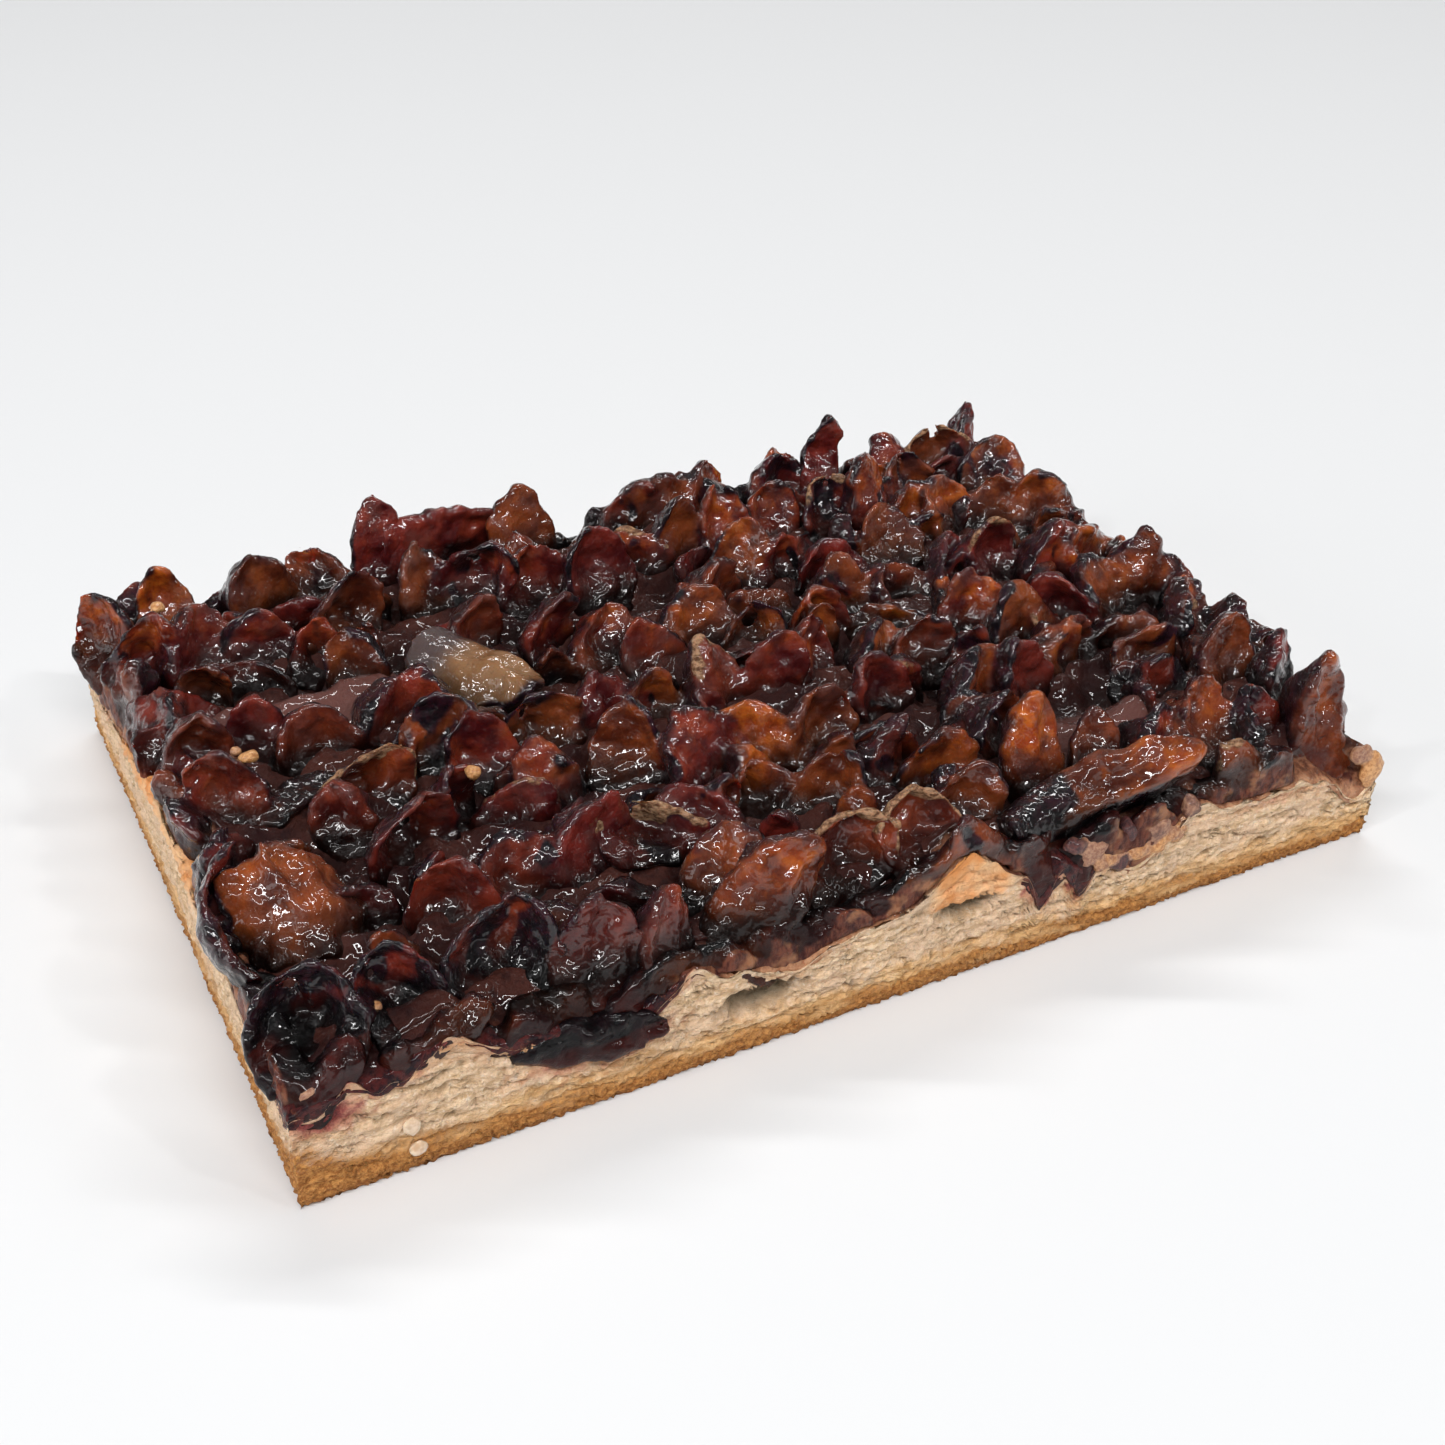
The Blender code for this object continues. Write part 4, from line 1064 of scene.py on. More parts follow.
def row_wedges():
    """The wedges that fill the rows, uneven in place, size and lean, with the draws seeded."""
    draw = random.Random(ROW_SEED)
    wedges = []
    for row in range(ROW_COUNT):
        count = int((SLAB_LENGTH - 2 * EDGE_MARGIN) / WEDGE_STEP)
        shift = 0.5 * WEDGE_STEP * (row % 2)
        for place in range(count + 1):
            x = EDGE_MARGIN + shift + place * WEDGE_STEP + draw.uniform(-3.5, 3.5)
            y = ROW_FIRST + row * ROW_STEP + draw.uniform(-5.5, 5.5)
            width = draw.uniform(15.0, 22.0)
            thick = draw.uniform(9.0, 14.0)
            top = draw.uniform(35.0, 41.5) + 3.0 * row / (ROW_COUNT - 1)
            lean_x = draw.uniform(-4.0, 5.0)
            lean_y = draw.uniform(2.0, 11.0)
            facing = -90 + draw.uniform(-32.0, 32.0)
            cup = draw.choice([0.05, 0.25, 0.4, 0.5])
            bow = draw.uniform(-0.02, 0.12)
            sharp = draw.choice([1.6, 2.0, 2.6, 3.4])
            x = min(max(x, EDGE_MARGIN), SLAB_LENGTH - EDGE_MARGIN)
            y = min(max(y, EDGE_MARGIN - 1), SLAB_DEPTH - EDGE_MARGIN)
            if in_pool(x, y) or taken(x, y, FEATURE_DEPTH_ROOM, FEATURE_ROOM):
                continue
            foot = (x, y, WEDGE_FOOT)
            tip = (x + lean_x, min(y + lean_y, SLAB_DEPTH + 1), top)
            wedges.append(Wedge(foot, tip, width, thick, facing, 5.0, cup, bow, sharp))
    return wedges


def fill_wedges():
    """Smaller, lower pieces that lie every way in the furrows between the rows."""
    draw = random.Random(FILL_SEED)
    wedges = []
    for row in range(ROW_COUNT - 1):
        for place in range(int(SLAB_LENGTH / FILL_STEP) + 1):
            x = 6 + place * FILL_STEP + 0.5 * FILL_STEP * (row % 2) + draw.uniform(-4, 4)
            y = ROW_FIRST + (row + 0.5) * ROW_STEP + draw.uniform(-3.5, 3.5)
            kind = draw.choice(["finger", "arch", "lump", "finger"])
            widths = {name: draw.uniform(*FILL_WIDTHS[name]) for name in FILL_WIDTHS}
            thicks = {name: draw.uniform(*FILL_THICKS[name]) for name in FILL_THICKS}
            top = draw.uniform(31, 35) if kind == "arch" else draw.uniform(33, 38.5)
            lean = (draw.uniform(-8, 9), draw.uniform(-3, 8))
            facing = -90 + draw.uniform(-50, 50)
            sharp = 3.6 if kind == "lump" else draw.choice([2.4, 3.0])
            if x > SLAB_LENGTH - 6 or in_pool(x, y) or taken(x, y, FILL_DEPTH_ROOM):
                continue
            foot = (x, y, FILL_FOOT)
            tip = (x + lean[0], y + lean[1], top)
            wedges.append(Wedge(foot, tip, widths[kind], thicks[kind], facing, 10, 0.3, 0.08, sharp))
    return wedges


def edge_wedges():
    """Pieces cut through along the four sides, which stand close to the cut and face outwards."""
    draw = random.Random(FILL_SEED + 1)
    wedges = []
    for start, along, inward, length, outward, waves, bare, backwards in CUTS:
        for number in range(int(length / EDGE_FILL_STEP)):
            run = (number + 0.5) * EDGE_FILL_STEP + draw.uniform(-3, 3)
            place = length - run if backwards else run
            inset = 2.1 + draw.uniform(0, 1.4) + float(wave_sum(np.array(place), bare))
            x = start[0] + along[0] * run + inward[0] * inset
            y = start[1] + along[1] * run + inward[1] * inset
            foot = DOUGH_EDGE - 2.6 + float(wave_sum(np.array(place), waves))
            top = max(draw.uniform(31, 37.5), foot + 9)
            lean = draw.uniform(0, 4)
            slide = draw.uniform(-5, 5)
            width = draw.uniform(12, 19)
            thick = draw.uniform(7, 9.5)
            facing = outward + draw.uniform(-25, 25)
            sharp = draw.choice([2.0, 2.6, 3.4])
            if taken(x, y, EDGE_DEPTH_ROOM):
                top = min(top, max(draw.uniform(26.0, 28.5), foot + 6))
            if x > END_WEDGE_LEFT and y < END_WEDGE_BACK:
                continue
            tip_x = x + inward[0] * lean + along[0] * slide
            tip_y = y + inward[1] * lean + along[1] * slide
            tip = (tip_x, tip_y, top)
            wedges.append(Wedge((x, y, foot), tip, width, thick, facing, 5, 0.05, 0.04, sharp))
    return wedges


def plum_looks(draw, looks, seed, place, free, chart, edges):
    """A plum piece's looks over its grid.

    Char and amber come in blotches. Its skin lies on the back, its dark or dry rims run along the
    sides, stronger on one of them, and over the tip.
    """
    tone, amber, char, dry = looks
    s, u, v = place
    from_rim = 1 - np.abs(u)
    rim_line = np.exp(-(from_rim / 0.10) ** 1.5) * free
    dry_line = np.exp(-(from_rim / 0.13) ** 2) * free
    near_tip = smooth_step(s, 0.80, 0.97)
    rim = np.maximum(rim_line, near_tip * 0.8) * draw.uniform(0.5, 1.15)
    one_sided = 0.65 + draw.uniform(-0.9, 0.9) * u
    rim = rim * np.clip(one_sided + 0.4 * ripples(edges, 9.0, seed + 11), 0, 1.2)
    dry_line = dry_line * smooth_step(s, 0.4, 0.7)
    crusted = (dry > 0.95) * smooth_step(s + 0.08 * ripples(chart, 6.0, seed + 13), 0.60, 0.72)
    dried = np.maximum(np.maximum(dry_line, smooth_step(s, 0.84, 0.96)), crusted)
    charred = 0.55 + 0.6 * ripples(chart, 9.0, seed + 9) + 0.4 * s
    # Amber grows towards the thin tip: partly the flesh's own amber, partly painted light shining through
    # it.
    tip_amber_and_glow = smooth_step(s + 0.15 * ripples(chart, 7.0, seed + 14), 0.35, 0.85)
    return {
        "tone": np.full((1, 1), tone),
        "amber": amber * (0.35 + 0.75 * tip_amber_and_glow),
        "char": np.clip(char * charred, 0, 1),
        "dry": dry * dried,
        "skin": smooth_step(v + 0.25 * ripples(chart, 6.0, seed + 8), -0.05, 0.25),
        "rim": rim * (1 - 0.7 * (dry > 0.5)),
    }


def plum_surface(wedge, rows, columns, seed, looks, foot=USUAL_FOOT, fixed_carve=None):
    """A plum piece's skin as points, faces and values.

    The spine is a curve from foot to tip, pushed back by the bow and hooked at its end. The width
    swells to the middle and closes to a point, with a ragged outline. The section is a lens with
    thin rims, bent forwards by the cup and hollowed on its flesh side. Folds run along it.
    """
    draw = np.random.default_rng(seed)
    run = wedge.tip - wedge.foot
    length = np.linalg.norm(run)
    direction = run / length
    flat = math.cos(wedge.tilt)
    face = np.array([math.cos(wedge.facing) * flat, math.sin(wedge.facing) * flat, math.sin(wedge.tilt)])
    face = unit(face - direction * face.dot(direction))
    across = np.cross(face, direction)
    s = np.linspace(0, 1, rows)[:, None] ** 0.92
    a = np.linspace(0, 2 * np.pi, columns, endpoint=False)[None, :]
    u = np.cos(a)
    v = np.sin(a)
    free = smooth_step(s, 0.15, 0.5)
    hook = draw.uniform(-2.0, 4.0) * smooth_step(s, 0.55, 1.0)
    sway = draw.uniform(-0.22, 0.22) * wedge.width * smooth_step(s, 0.3, 1.0)
    twist = draw.uniform(-0.35, 0.35) * s
    spine = wedge.foot + s[..., None] * run - face * (4 * wedge.bow * length * s * (1 - s))[..., None]
    spine = spine + face * hook[..., None] + across * sway[..., None]
    closing = np.clip(1 - s ** (wedge.sharp + 0.9), 0, 1) ** 0.62
    opening = foot + (1 - foot) * np.sin(np.minimum(s / 0.5, 1) * np.pi / 2)
    half_width = 0.5 * wedge.width * opening * closing
    blunt = wedge.sharp > 4.5
    half_thick = 0.5 * wedge.thick * np.clip(1 - s ** (7 if blunt else 3), 0, 1) ** 0.6 * (1 - 0.25 * s)
    faces_apart = 40 * np.sign(v) * (np.abs(v) > 0.3)
    chart = np.stack(np.broadcast_arrays(s * length, half_width * u + faces_apart), -1)
    edges = np.stack(np.broadcast_arrays(s * length, 9.0 * np.sign(u) + 0 * v), -1)
    calm = smooth_step(wedge.thick, 4.0, 7.0)
    ragged = 1 + calm * free * (0.07 * ripples(edges, 8.0, seed + 1) + 0.02 * ripples(edges, 3.0, seed + 2))
    side = half_width * ragged * u
    lens = half_thick * 0.92 * np.sign(v) * np.abs(v) ** 1.05
    fold = free * (1 - u ** 4) * ripples(chart, (17.0, 7.0), seed + 3)
    carved = draw.uniform(-0.3, 1.4)
    carved = carved if fixed_carve is None else fixed_carve
    ridge = draw.uniform(-0.35, 0.35)
    tent = np.clip(1 - np.abs(u - ridge) / (1 - ridge * np.sign(u - ridge)), 0, 1) ** 1.2
    bowl = (1 - u ** 2) ** 1.2 * (1 + 0.5 * (u - ridge))
    hollow = np.clip(-v, 0, 1) ** 0.5 * carved * half_thick * (bowl if carved > 0 else tent)
    hollow = hollow * smooth_step(s, 0.2, 0.6)
    curl_side = draw.uniform(-0.35, 0.35)
    back = lens + hollow + 1.1 * fold - (wedge.cup + curl_side * u * free) * half_width * (u ** 2 - 0.35)
    lip = np.exp(-((1 - np.abs(u)) / 0.16) ** 2) * free
    back = back - 0.5 * calm * lip * (1 + 0.8 * ripples(edges, 6.0, seed + 10))
    turned_side = side * np.cos(twist) - back * np.sin(twist)
    turned_back = side * np.sin(twist) + back * np.cos(twist)
    grid = spine + turned_side[..., None] * across - turned_back[..., None] * face
    notches = (0.3 if blunt else 1.3) * calm * smooth_step(s, 0.35, 0.9)
    notches = notches * ripples(edges * (0.2, 1.0), 6.0, seed + 12)
    grid = grid + notches[..., None] * direction
    lengthwise = np.gradient(grid, axis=0)
    roundwise = np.roll(grid, -1, 1) - np.roll(grid, 1, 1)
    normal = unit(np.cross(lengthwise, roundwise))
    centre = grid.mean(1, keepdims=True)
    normal = normal * np.sign((normal * (grid - centre)).sum(-1).sum())
    rough = 0.24 * ripples(grid, 4.2, seed + 4) + 0.03 * ripples(grid, 1.8, seed + 5)
    wrinkle = 0.10 * ripples(chart, (1.9, 4.0), seed + 6) * (v > 0)
    char_rough = looks[2] * 0.24 * ripples(grid, 2.8, seed + 7)
    grid = grid + normal * ((rough + wrinkle + char_rough) * free + 0.3)[..., None]
    body = grid[:-1].reshape(-1, 3)
    points = np.concatenate([body, [grid[-1].mean(0)], [grid[0].mean(0)]])
    count = len(body)
    last = count - columns + np.arange(columns)
    quads = wrapped_faces(rows - 1, columns)
    sole = fan_faces(np.arange(columns), count + 1, True)
    triangles = np.concatenate([fan_faces(last, count, False), sole])
    if np.linalg.det(np.stack([across, -face, direction])) < 0:
        quads = quads[:, ::-1]
        triangles = triangles[:, ::-1]
    values = {}
    for label, value in plum_looks(draw, looks, seed, (s, u, v), free, chart, edges).items():
        full = np.broadcast_to(value, grid.shape[:2])
        values[label] = np.concatenate([full[:-1].ravel(), [full[-1].mean()], [full[0].mean()]])
    return points, quads, triangles, values


def joined(surfaces):
    """Several surfaces as one: points, quads, triangles and values."""
    starts = np.cumsum([0] + [len(surface[0]) for surface in surfaces])
    points = np.concatenate([surface[0] for surface in surfaces])
    quads = np.concatenate([surface[1] + start for surface, start in zip(surfaces, starts)])
    triangles = np.concatenate([surface[2] + start for surface, start in zip(surfaces, starts)])
    values = {
        label: np.concatenate([surface[3][label] for surface in surfaces])
        for label in surfaces[0][3]
    }
    return points, quads, triangles, values


def summed(count, corners, vectors):
    """Vectors summed up at the points that their corners name."""
    flat = corners.ravel()
    wide = np.repeat(vectors, corners.shape[1], axis=0)
    return np.stack([np.bincount(flat, wide[:, axis], count) for axis in range(wide.shape[1])], -1)


def averaged(values, edges):
    """The mean of each point's neighbours along the edges."""
    count = len(values)
    swapped = values[edges[:, ::-1]]
    total = np.stack([
        np.bincount(edges.ravel(), swapped[..., axis].ravel(), count) for axis in range(values.shape[1])
    ], -1)
    return total / np.maximum(np.bincount(edges.ravel(), minlength=count), 1)[:, None]


def skin_normals(points, quads):
    """Outward directions at the points, from the diagonals of the quads."""
    corners = points[quads]
    outward = np.cross(corners[:, 2] - corners[:, 0], corners[:, 3] - corners[:, 1])
    return unit(summed(len(points), quads, outward))


def carried_over(points, source, values, cell=0.8):
    """Each point takes the values of the source point that lies in its cell, or in a cell near it."""
    low = np.minimum(points.min(0), source.min(0)) - 2 * cell
    high = np.maximum(points.max(0), source.max(0)) + 2 * cell
    cells = np.full(((high - low) / cell + 1).astype(int), -1, np.int32)
    cells[tuple(((source - low) / cell).astype(int).T)] = np.arange(len(source))
    for shift, axis in [(1, 0), (-1, 0), (1, 1), (-1, 1), (1, 2), (-1, 2)] * 4:
        cells = np.where(cells < 0, np.roll(cells, shift, axis), cells)
    return values[cells[tuple(((points - low) / cell).astype(int).T)]]


def melted(surfaces, skin, rounds, seed, lumpy=1.0):
    """Surfaces melted into one closed skin, as the glaze does: hollows fill up and ridges stay.

    A voxel remesh makes the skin. Then each point moves towards the mean of its neighbours, most of
    the way where the skin is hollow and a little where it bulges, and small lumps are laid over it.
    """
    points, quads, triangles, values = joined(surfaces)
    mould = mesh_piece("mould", points, quads, triangles, bpy.data.materials[0])
    remesh = mould.modifiers.new("skin", "REMESH")
    remesh.mode = "VOXEL"
    remesh.voxel_size = skin * MM
    depsgraph = bpy.context.evaluated_depsgraph_get()
    mesh = bpy.data.meshes.new_from_object(mould.evaluated_get(depsgraph))
    skin_points = np.empty(len(mesh.vertices) * 3, np.float32)
    mesh.vertices.foreach_get("co", skin_points)
    skin_points = (skin_points.reshape(-1, 3).astype(float) - CORNER) / MM
    skin_quads = np.empty(len(mesh.loops), np.int32)
    mesh.loops.foreach_get("vertex_index", skin_quads)
    skin_quads = skin_quads.reshape(-1, 4)
    edges = np.empty(len(mesh.edges) * 2, np.int32)
    mesh.edges.foreach_get("vertices", edges)
    edges = edges.reshape(-1, 2)
    bpy.data.objects.remove(mould)
    bpy.data.meshes.remove(mesh)
    labels = list(values)
    taken = carried_over(skin_points, points, np.stack([values[label] for label in labels], -1))
    for turn in range(rounds):
        normal = skin_normals(skin_points, skin_quads)
        drift = averaged(skin_points, edges) - skin_points
        lift = (drift * normal).sum(-1, keepdims=True)
        settled = lift * np.where(lift > 0, HOLLOW_FILL, RIDGE_FALL) * normal
        skin_points = skin_points + 0.5 * (drift - lift * normal) + settled
        if turn < 3:
            taken = 0.5 * taken + 0.5 * averaged(taken, edges)
    normal = skin_normals(skin_points, skin_quads)
    lumps = lumpy * (0.26 * ripples(skin_points, 4.4, seed) + 0.10 * ripples(skin_points, 2.3, seed + 1))
    skin_points = skin_points + normal * lumps[:, None]
    return skin_points, skin_quads, np.zeros((0, 3), int), dict(zip(labels, taken.T))


def placed(places, wedge):
    """How strongly a look is given to a piece by the places where the heap has it."""
    x, y = 0.5 * (wedge.foot[:2] + wedge.tip[:2])
    return max(
        strength * math.exp(-((x - px) ** 2 + (y - py) ** 2) / r ** 2)
        for px, py, r, strength in places
    )


def cut_flush(points):
    """Points kept within the four cuts, where the knife went through, with a slightly uneven cut.

    Below the dough's edge they are pushed further in, behind its face, where juice didn't soak it.
    """
    x, y, z = points.T
    below = 1 - smooth_step(z - border_height(x, y, 0.0), -0.6, 1.2)
    uneven = (0.2 + 0.3 * ripples(points, 2.6, 31) + 1.6 * below * (1 - soaked_share(x, y)))[:, None]
    low = points[:, :2] - uneven
    plan = uneven + 0.5 * (low + np.sqrt(low ** 2 + 0.5))
    high = np.array([SLAB_LENGTH, SLAB_DEPTH]) - uneven - plan
    plan = np.array([SLAB_LENGTH, SLAB_DEPTH]) - uneven - 0.5 * (high + np.sqrt(high ** 2 + 0.5))
    return np.concatenate([plan, points[:, 2:]], -1)


def painted_light_share(points):
    """How much colour the fruit keeps under painted shade: 0 deep down between the pieces, 1 at their tops,
    and at least a little near the four cuts.
    """
    x, y, z = points.T
    inside = from_cuts(x, y)
    return np.maximum(smooth_step(z, *LIGHT_HEIGHTS), CUT_LIGHT * (1 - smooth_step(inside, 1.5, 7.0)))


def cut_nearness(points):
    """1 where the knife went through pale flesh, 0 inside the heap and where juice soaked the cut."""
    x, y, z = points.T
    inside = from_cuts(x, y)
    near_front = 1 - smooth_step(y, 1.0, 4.0)
    soaked = np.maximum(1 - smooth_step(x, 66, 80), np.exp(-((x - 161) / 12) ** 4)) * near_front
    return (1 - smooth_step(inside, 0.7, 2.2)) * (1 - soaked) * (1 - smooth_step(z, 25, 32))


def make_row_plums(material, rows, fills, edges):
    """The rows and the smaller pieces between them, melted together in four bands from front to back."""
    draw = random.Random(5)
    bands = {"plum_rows_front": [], "plum_rows_second": [], "plum_rows_third": [], "plum_rows_back": []}
    names = list(bands)
    for number, wedge in enumerate(rows + fills + edges):
        kind = draw.random()
        rightwards = wedge.foot[0] / SLAB_LENGTH
        tone = draw.random()
        amber = draw.choice([0.0, 0.0, 0.15, 0.35, 0.6]) * (0.45 + 0.7 * rightwards)
        amber = max(amber, placed(AMBER_PLACES, wedge))
        char = draw.uniform(0.55, 0.8) if kind < 0.08 else draw.choice([0.0, 0.1, 0.25])
        char = max(char, placed(CHAR_PLACES, wedge))
        dry = draw.uniform(0.5, 0.8) if kind > 0.975 else 0.0
        fineness = ROW_MESH if number < len(rows) else FILL_MESH
        carve = None if number < len(rows) + len(fills) else draw.uniform(-0.3, 0.2)
        band = names[min(int(wedge.foot[1] / SLAB_DEPTH * 4), 3)]
        looks = (tone, amber, char, dry)
        bands[band].append(plum_surface(wedge, *fineness, 5000 + 20 * number, looks, fixed_carve=carve))
    skins = []
    for number, (name, surfaces) in enumerate(bands.items()):
        points, quads, triangles, values = melted(surfaces, ROW_SKIN, ROW_ROUNDS, 60 + 2 * number)
        points = cut_flush(points)
        values["cut"] = cut_nearness(points)
        # The open value is painted shade: dark deep between the pieces, full colour at their tops.
        values["open"] = painted_light_share(points)
        skins.append(points)
        dressed(mesh_piece(name, points, quads, triangles, material, values), "plum", "plum_layer")
    return np.concatenate(skins)


def make_standing_plums(material, pale_material):
    """Each standing piece in its own node's place."""
    for number, (name, wedge) in enumerate(FEATURES.items()):
        surface = plum_surface(
            wedge, *FEATURE_MESH, 15000 + 20 * number, FEATURE_LOOKS[name],
            FEATURE_FOOT.get(name, USUAL_FOOT), FEATURE_CARVE.get(name),
        )
        pale = name == "plum_pale_half"
        lumpy = 0.4 if pale or "amber" in name else 1.0
        skin = melted([surface], FEATURE_SKIN, FEATURE_ROUNDS, 80 + 2 * number, lumpy)
        points, quads, triangles, values = skin
        height = points[:, 2]
        along = (points - wedge.foot) @ unit(wedge.tip - wedge.foot)
        if pale:
            values["head"] = 1 - smooth_step(along, 6, 14)
        if name == "plum_amber_long":
            # Dark skin over the foot, and dark on the underside: partly its skin, partly painted shade.
            below = wedge.foot[2] + along * 0.22 - height
            dark_foot = 1 - smooth_step(along + 2 * below, 6, 22)
            values["char"] = np.maximum(dark_foot, smooth_step(below, 0, 4) * 0.8)
        if name == "plum_front_skin":
            values["rim"] = values["rim"] * 0.25
            values["char"] = 0.9 * smooth_step(height, 14.5, 18.5)
        # The open value is painted shade; the end wedge keeps at least 0.75 of its colour.
        values["open"] = np.maximum(painted_light_share(points), 0.75 * (name == "plum_end_wedge"))
        finish = pale_material if pale else material
        piece = mesh_piece(name + "_glazed", points, quads, triangles, finish, values)
        dressed(piece, "pale_plum" if pale else "plum", name)


# Crumbs and drops

def lump_surface(middle, sizes, seed, warmth, roughness=0.2):
    """A crumb: a ball drawn out to its sizes, with its skin pushed in and out by noise."""
    rows = 13
    columns = 22
    tall = np.linspace(0, np.pi, rows + 2)[1:-1, None]
    turn = np.linspace(0, 2 * np.pi, columns, endpoint=False)[None, :]
    across = np.sin(tall)
    ball = np.stack(np.broadcast_arrays(across * np.cos(turn), across * np.sin(turn), np.cos(tall)), -1)
    ball = np.concatenate([ball.reshape(-1, 3), [[0, 0, 1], [0, 0, -1]]])
    pushed = 1 + roughness * (ripples(ball, 1.3, seed) + 0.5 * ripples(ball, 0.6, seed + 1))
    points = ball * pushed[:, None] * np.array(sizes) + np.array(middle)
    quads = wrapped_faces(rows, columns)[:, ::-1]
    ring = np.arange(columns)
    triangles = np.concatenate([
        fan_faces(ring, rows * columns, False),
        fan_faces((rows - 1) * columns + ring, rows * columns + 1, True),
    ])
    return points, quads, triangles, {"warmth": np.full(len(points), float(warmth))}


def crumb_material():
    """Crumbs of dough and fruit: wine brown, pinkish tan or golden, and matt."""
    m = Nodes("baked_crumb")
    grain = m.noise(0.8, 4.0, 0.7)
    warmth = m.shifted(m.value("warmth"), m.noise(2.4, 3.0, 0.6), 0.6)
    dark = m.mix(m.between(grain, 0.35, 0.65), (0.030, 0.007, 0.010), (0.13, 0.035, 0.030))
    tan = m.mix(m.between(grain, 0.35, 0.65), (0.26, 0.10, 0.055), (0.50, 0.27, 0.16))
    golden = m.mix(m.between(grain, 0.35, 0.65), (0.45, 0.17, 0.045), (0.78, 0.42, 0.17))
    colour = m.mix(m.between(warmth, 0.55, 0.85), m.mix(m.between(warmth, 0.15, 0.45), dark, tan), golden)
    return m.finish(
        Base_Color=colour,
        Normal=m.bump(grain, 0.5, 1.0),
        Roughness=0.5,
        Coat_Weight=0.35,
        Coat_Roughness=0.15,
    )


def drop_material():
    """A drop of clear glaze on the dough: pale and wet."""
    m = Nodes("clear_glaze")
    shade = m.between(m.noise(1.5, 2.0, 0.5), 0.35, 0.65)
    return m.finish(
        Base_Color=m.mix(shade, (0.62, 0.42, 0.27), (0.80, 0.62, 0.45)),
        Roughness=0.12,
        Coat_Weight=1.0,
        Coat_Roughness=0.03,
        Subsurface_Weight=0.5,
        Subsurface_Radius=(1.0, 0.7, 0.5),
        Subsurface_Scale=0.002,
    )


def make_crumbs(fruit):
    """Crumbs along the front cut and on the fruit, and the two drops of clear glaze."""
    lumps = [
        lump_surface(middle, sizes, 300 + 3 * number, warmth)
        for number, (middle, sizes, warmth) in enumerate(CRUMBS)
    ]
    for number, ((x, y), sizes, warmth) in enumerate(TOP_CRUMBS):
        near = np.hypot(fruit[:, 0] - x, fruit[:, 1] - y) < 2.2
        height = fruit[near, 2].max() if near.any() else 30.0
        lumps.append(lump_surface((x, y, height - 0.2), sizes, 400 + 3 * number, warmth))
    points, quads, triangles, values = melted(lumps, CRUMB_SKIN, CRUMB_ROUNDS, 350, 0.35)
    crumbs = mesh_piece("cut_crumbs", points, quads, triangles, crumb_material(), values)
    drops = [
        lump_surface(middle, sizes, 500 + number, 1.0, 0.1)
        for number, (middle, sizes) in enumerate(GLAZE_DROPS)
    ]
    points, quads, triangles, values = joined(drops)
    wet = mesh_piece("glaze_drops", points, quads, triangles, drop_material(), values)
    dressed(crumbs, "dough")
    dressed(wet, "pale_plum")


# The stage

def slab_point(place):
    """A place measured from the slab's corner, in the scene's metres."""
    return Vector(np.array(place, float) * MM + CORNER)


def make_camera():
    """The camera at the photograph's viewing angle."""
    data = bpy.data.cameras.new("camera")
    data.sensor_width = SENSOR
    data.lens = LENS
    camera = bpy.data.objects.new("camera", data)
    at = slab_point(CAMERA_AT)
    forward = (slab_point(CAMERA_LOOKS_AT) - at).normalized()
    right = forward.cross(Vector((0, 0, 1))).normalized()
    up = right.cross(forward)
    roll = math.radians(CAMERA_ROLL)
    turned_right = right * math.cos(roll) + up * math.sin(roll)
    turned_up = up * math.cos(roll) - right * math.sin(roll)
    turned = Matrix((turned_right, turned_up, -forward)).transposed().to_4x4()
    camera.matrix_world = Matrix.Translation(at) @ turned
    bpy.context.scene.collection.objects.link(camera)
    bpy.context.scene.camera = camera


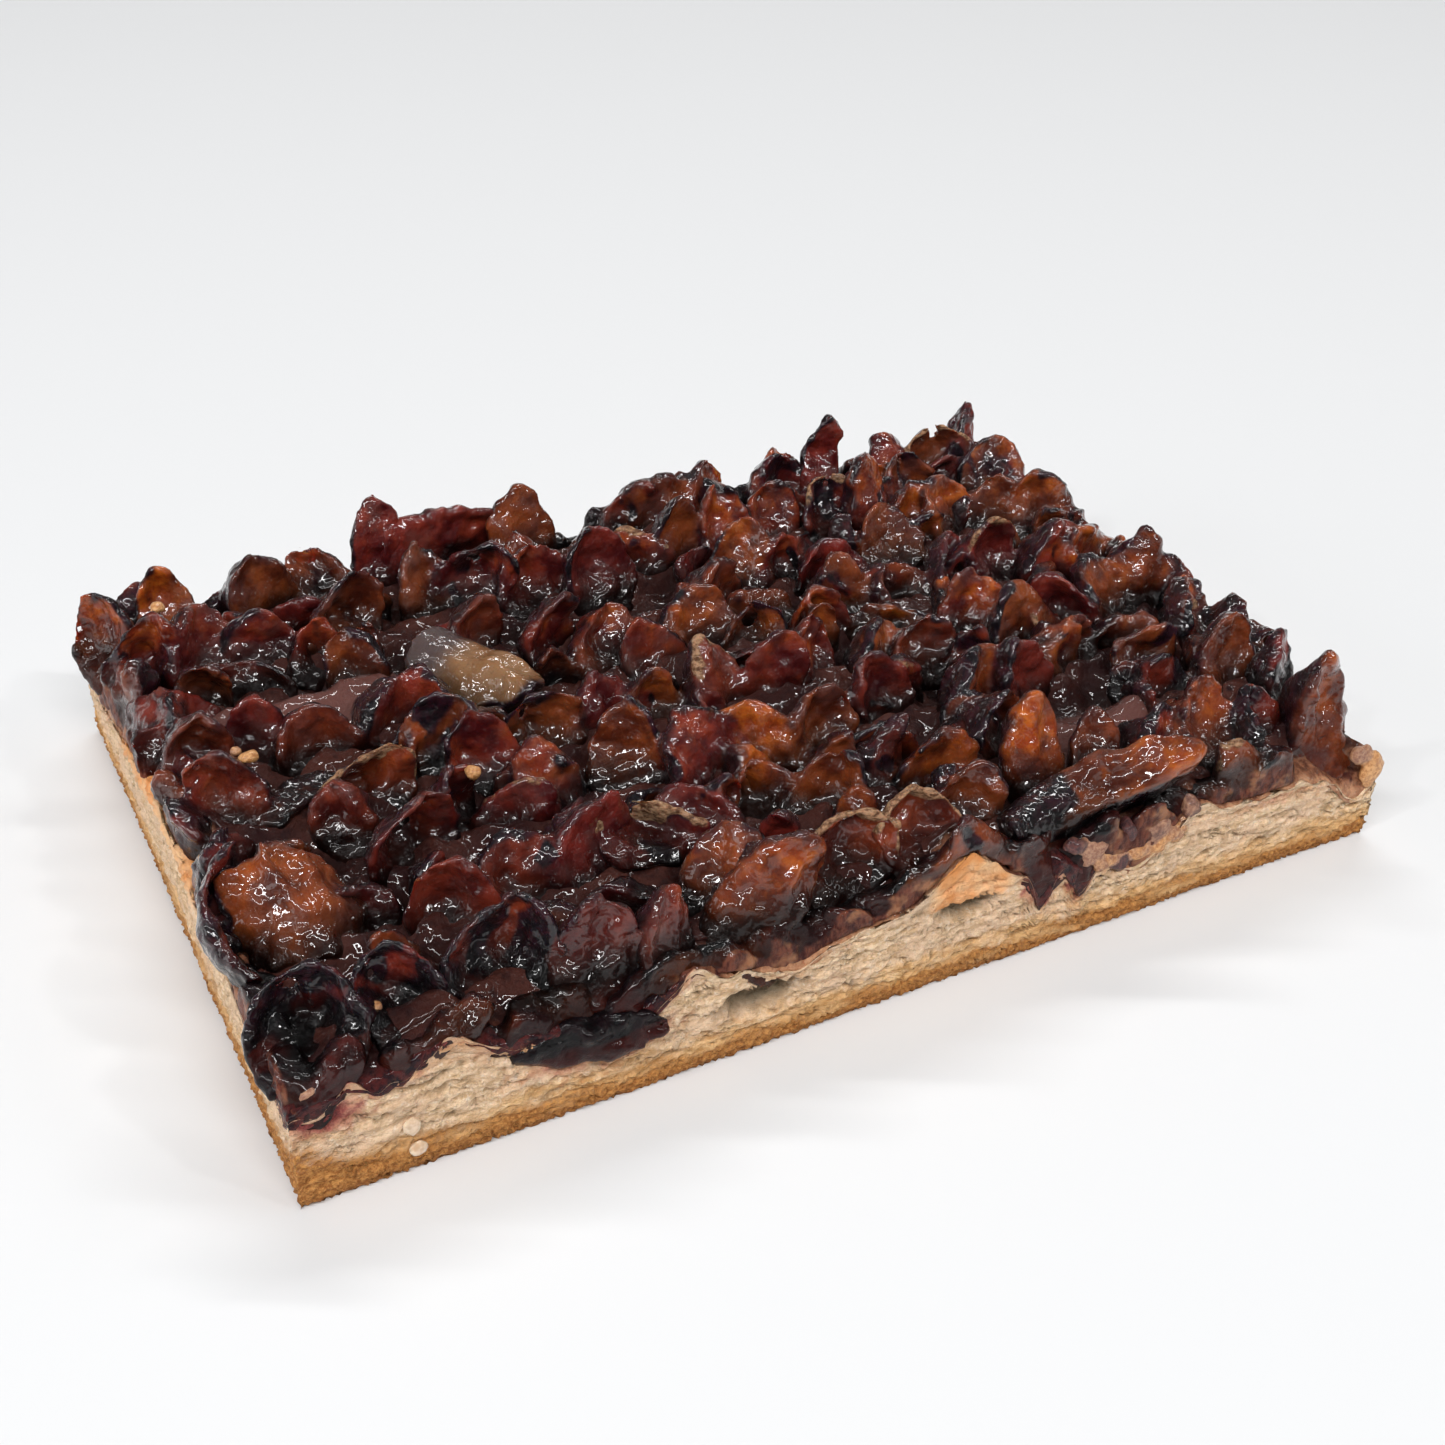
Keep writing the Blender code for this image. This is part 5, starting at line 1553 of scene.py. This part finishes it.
def make_floor():
    """A plain pale floor."""
    corners = [(-FLOOR, -FLOOR, 0), (FLOOR, -FLOOR, 0), (FLOOR, FLOOR, 0), (-FLOOR, FLOOR, 0)]
    mesh = bpy.data.meshes.new("floor")
    mesh.from_pydata(corners, [], [(0, 1, 2, 3)])
    floor = bpy.data.objects.new("floor", mesh)
    bpy.context.scene.collection.objects.link(floor)
    material = bpy.data.materials.new("pale_floor")
    material.use_nodes = True
    shader = material.node_tree.nodes["Principled BSDF"]
    shader.inputs["Base Color"].default_value = (0.79, 0.798, 0.808, 1)
    shader.inputs["Roughness"].default_value = 0.6
    shader.inputs["Specular IOR Level"].default_value = 0.2
    mesh.materials.append(material)


def add_light(name, place, width, depth, power, colour):
    """An area light that looks at the slab's middle."""
    data = bpy.data.lights.new(name, "AREA")
    data.shape = "RECTANGLE"
    data.size = width
    data.size_y = depth
    data.energy = power
    data.color = colour
    light = bpy.data.objects.new(name, data)
    light.location = place
    light.rotation_euler = (Vector(LIT_PLACE) - Vector(place)).to_track_quat("-Z", "Y").to_euler()
    bpy.context.scene.collection.objects.link(light)


def make_light():
    """Plain soft studio light, with narrow strips that draw the thin highlights on the glaze."""
    world = bpy.data.worlds.new("studio")
    bpy.context.scene.world = world
    world.use_nodes = True
    nodes = world.node_tree.nodes
    links = world.node_tree.links
    place = nodes.new("ShaderNodeTexCoord")
    split = nodes.new("ShaderNodeSeparateXYZ")
    links.new(place.outputs["Generated"], split.inputs[0])
    both = nodes.new("ShaderNodeMath")
    for number, (low, high, at_low, at_high) in enumerate(SKY_SHARES):
        share = nodes.new("ShaderNodeMapRange")
        share.interpolation_type = "SMOOTHSTEP"
        share.inputs["From Min"].default_value = low
        share.inputs["From Max"].default_value = high
        share.inputs["To Min"].default_value = at_low
        share.inputs["To Max"].default_value = at_high
        links.new(split.outputs["Z"], share.inputs["Value"])
        links.new(share.outputs["Result"], both.inputs[number])
    links.new(both.outputs[0], nodes["Background"].inputs["Strength"])
    nodes["Background"].inputs["Color"].default_value = (1.0, 0.965, 0.93, 1)
    for name, place, width, depth, power, colour in LIGHTS:
        add_light(name, place, width, depth, power, colour)
    bpy.context.scene.view_settings.view_transform = "Standard"


def main():
    """Make every piece and the stage."""
    plum = plum_material()
    pale = plum_material("pale_plum_flesh", pale=True)
    rows = row_wedges()
    fills = fill_wedges()
    edges = edge_wedges()
    make_dough(dough_material())
    make_glaze(glaze_material(), rows + fills + edges + list(FEATURES.values()))
    fruit = make_row_plums(plum, rows, fills, edges)
    make_crumbs(fruit)
    make_standing_plums(plum, pale)
    make_camera()
    make_floor()
    make_light()


main()
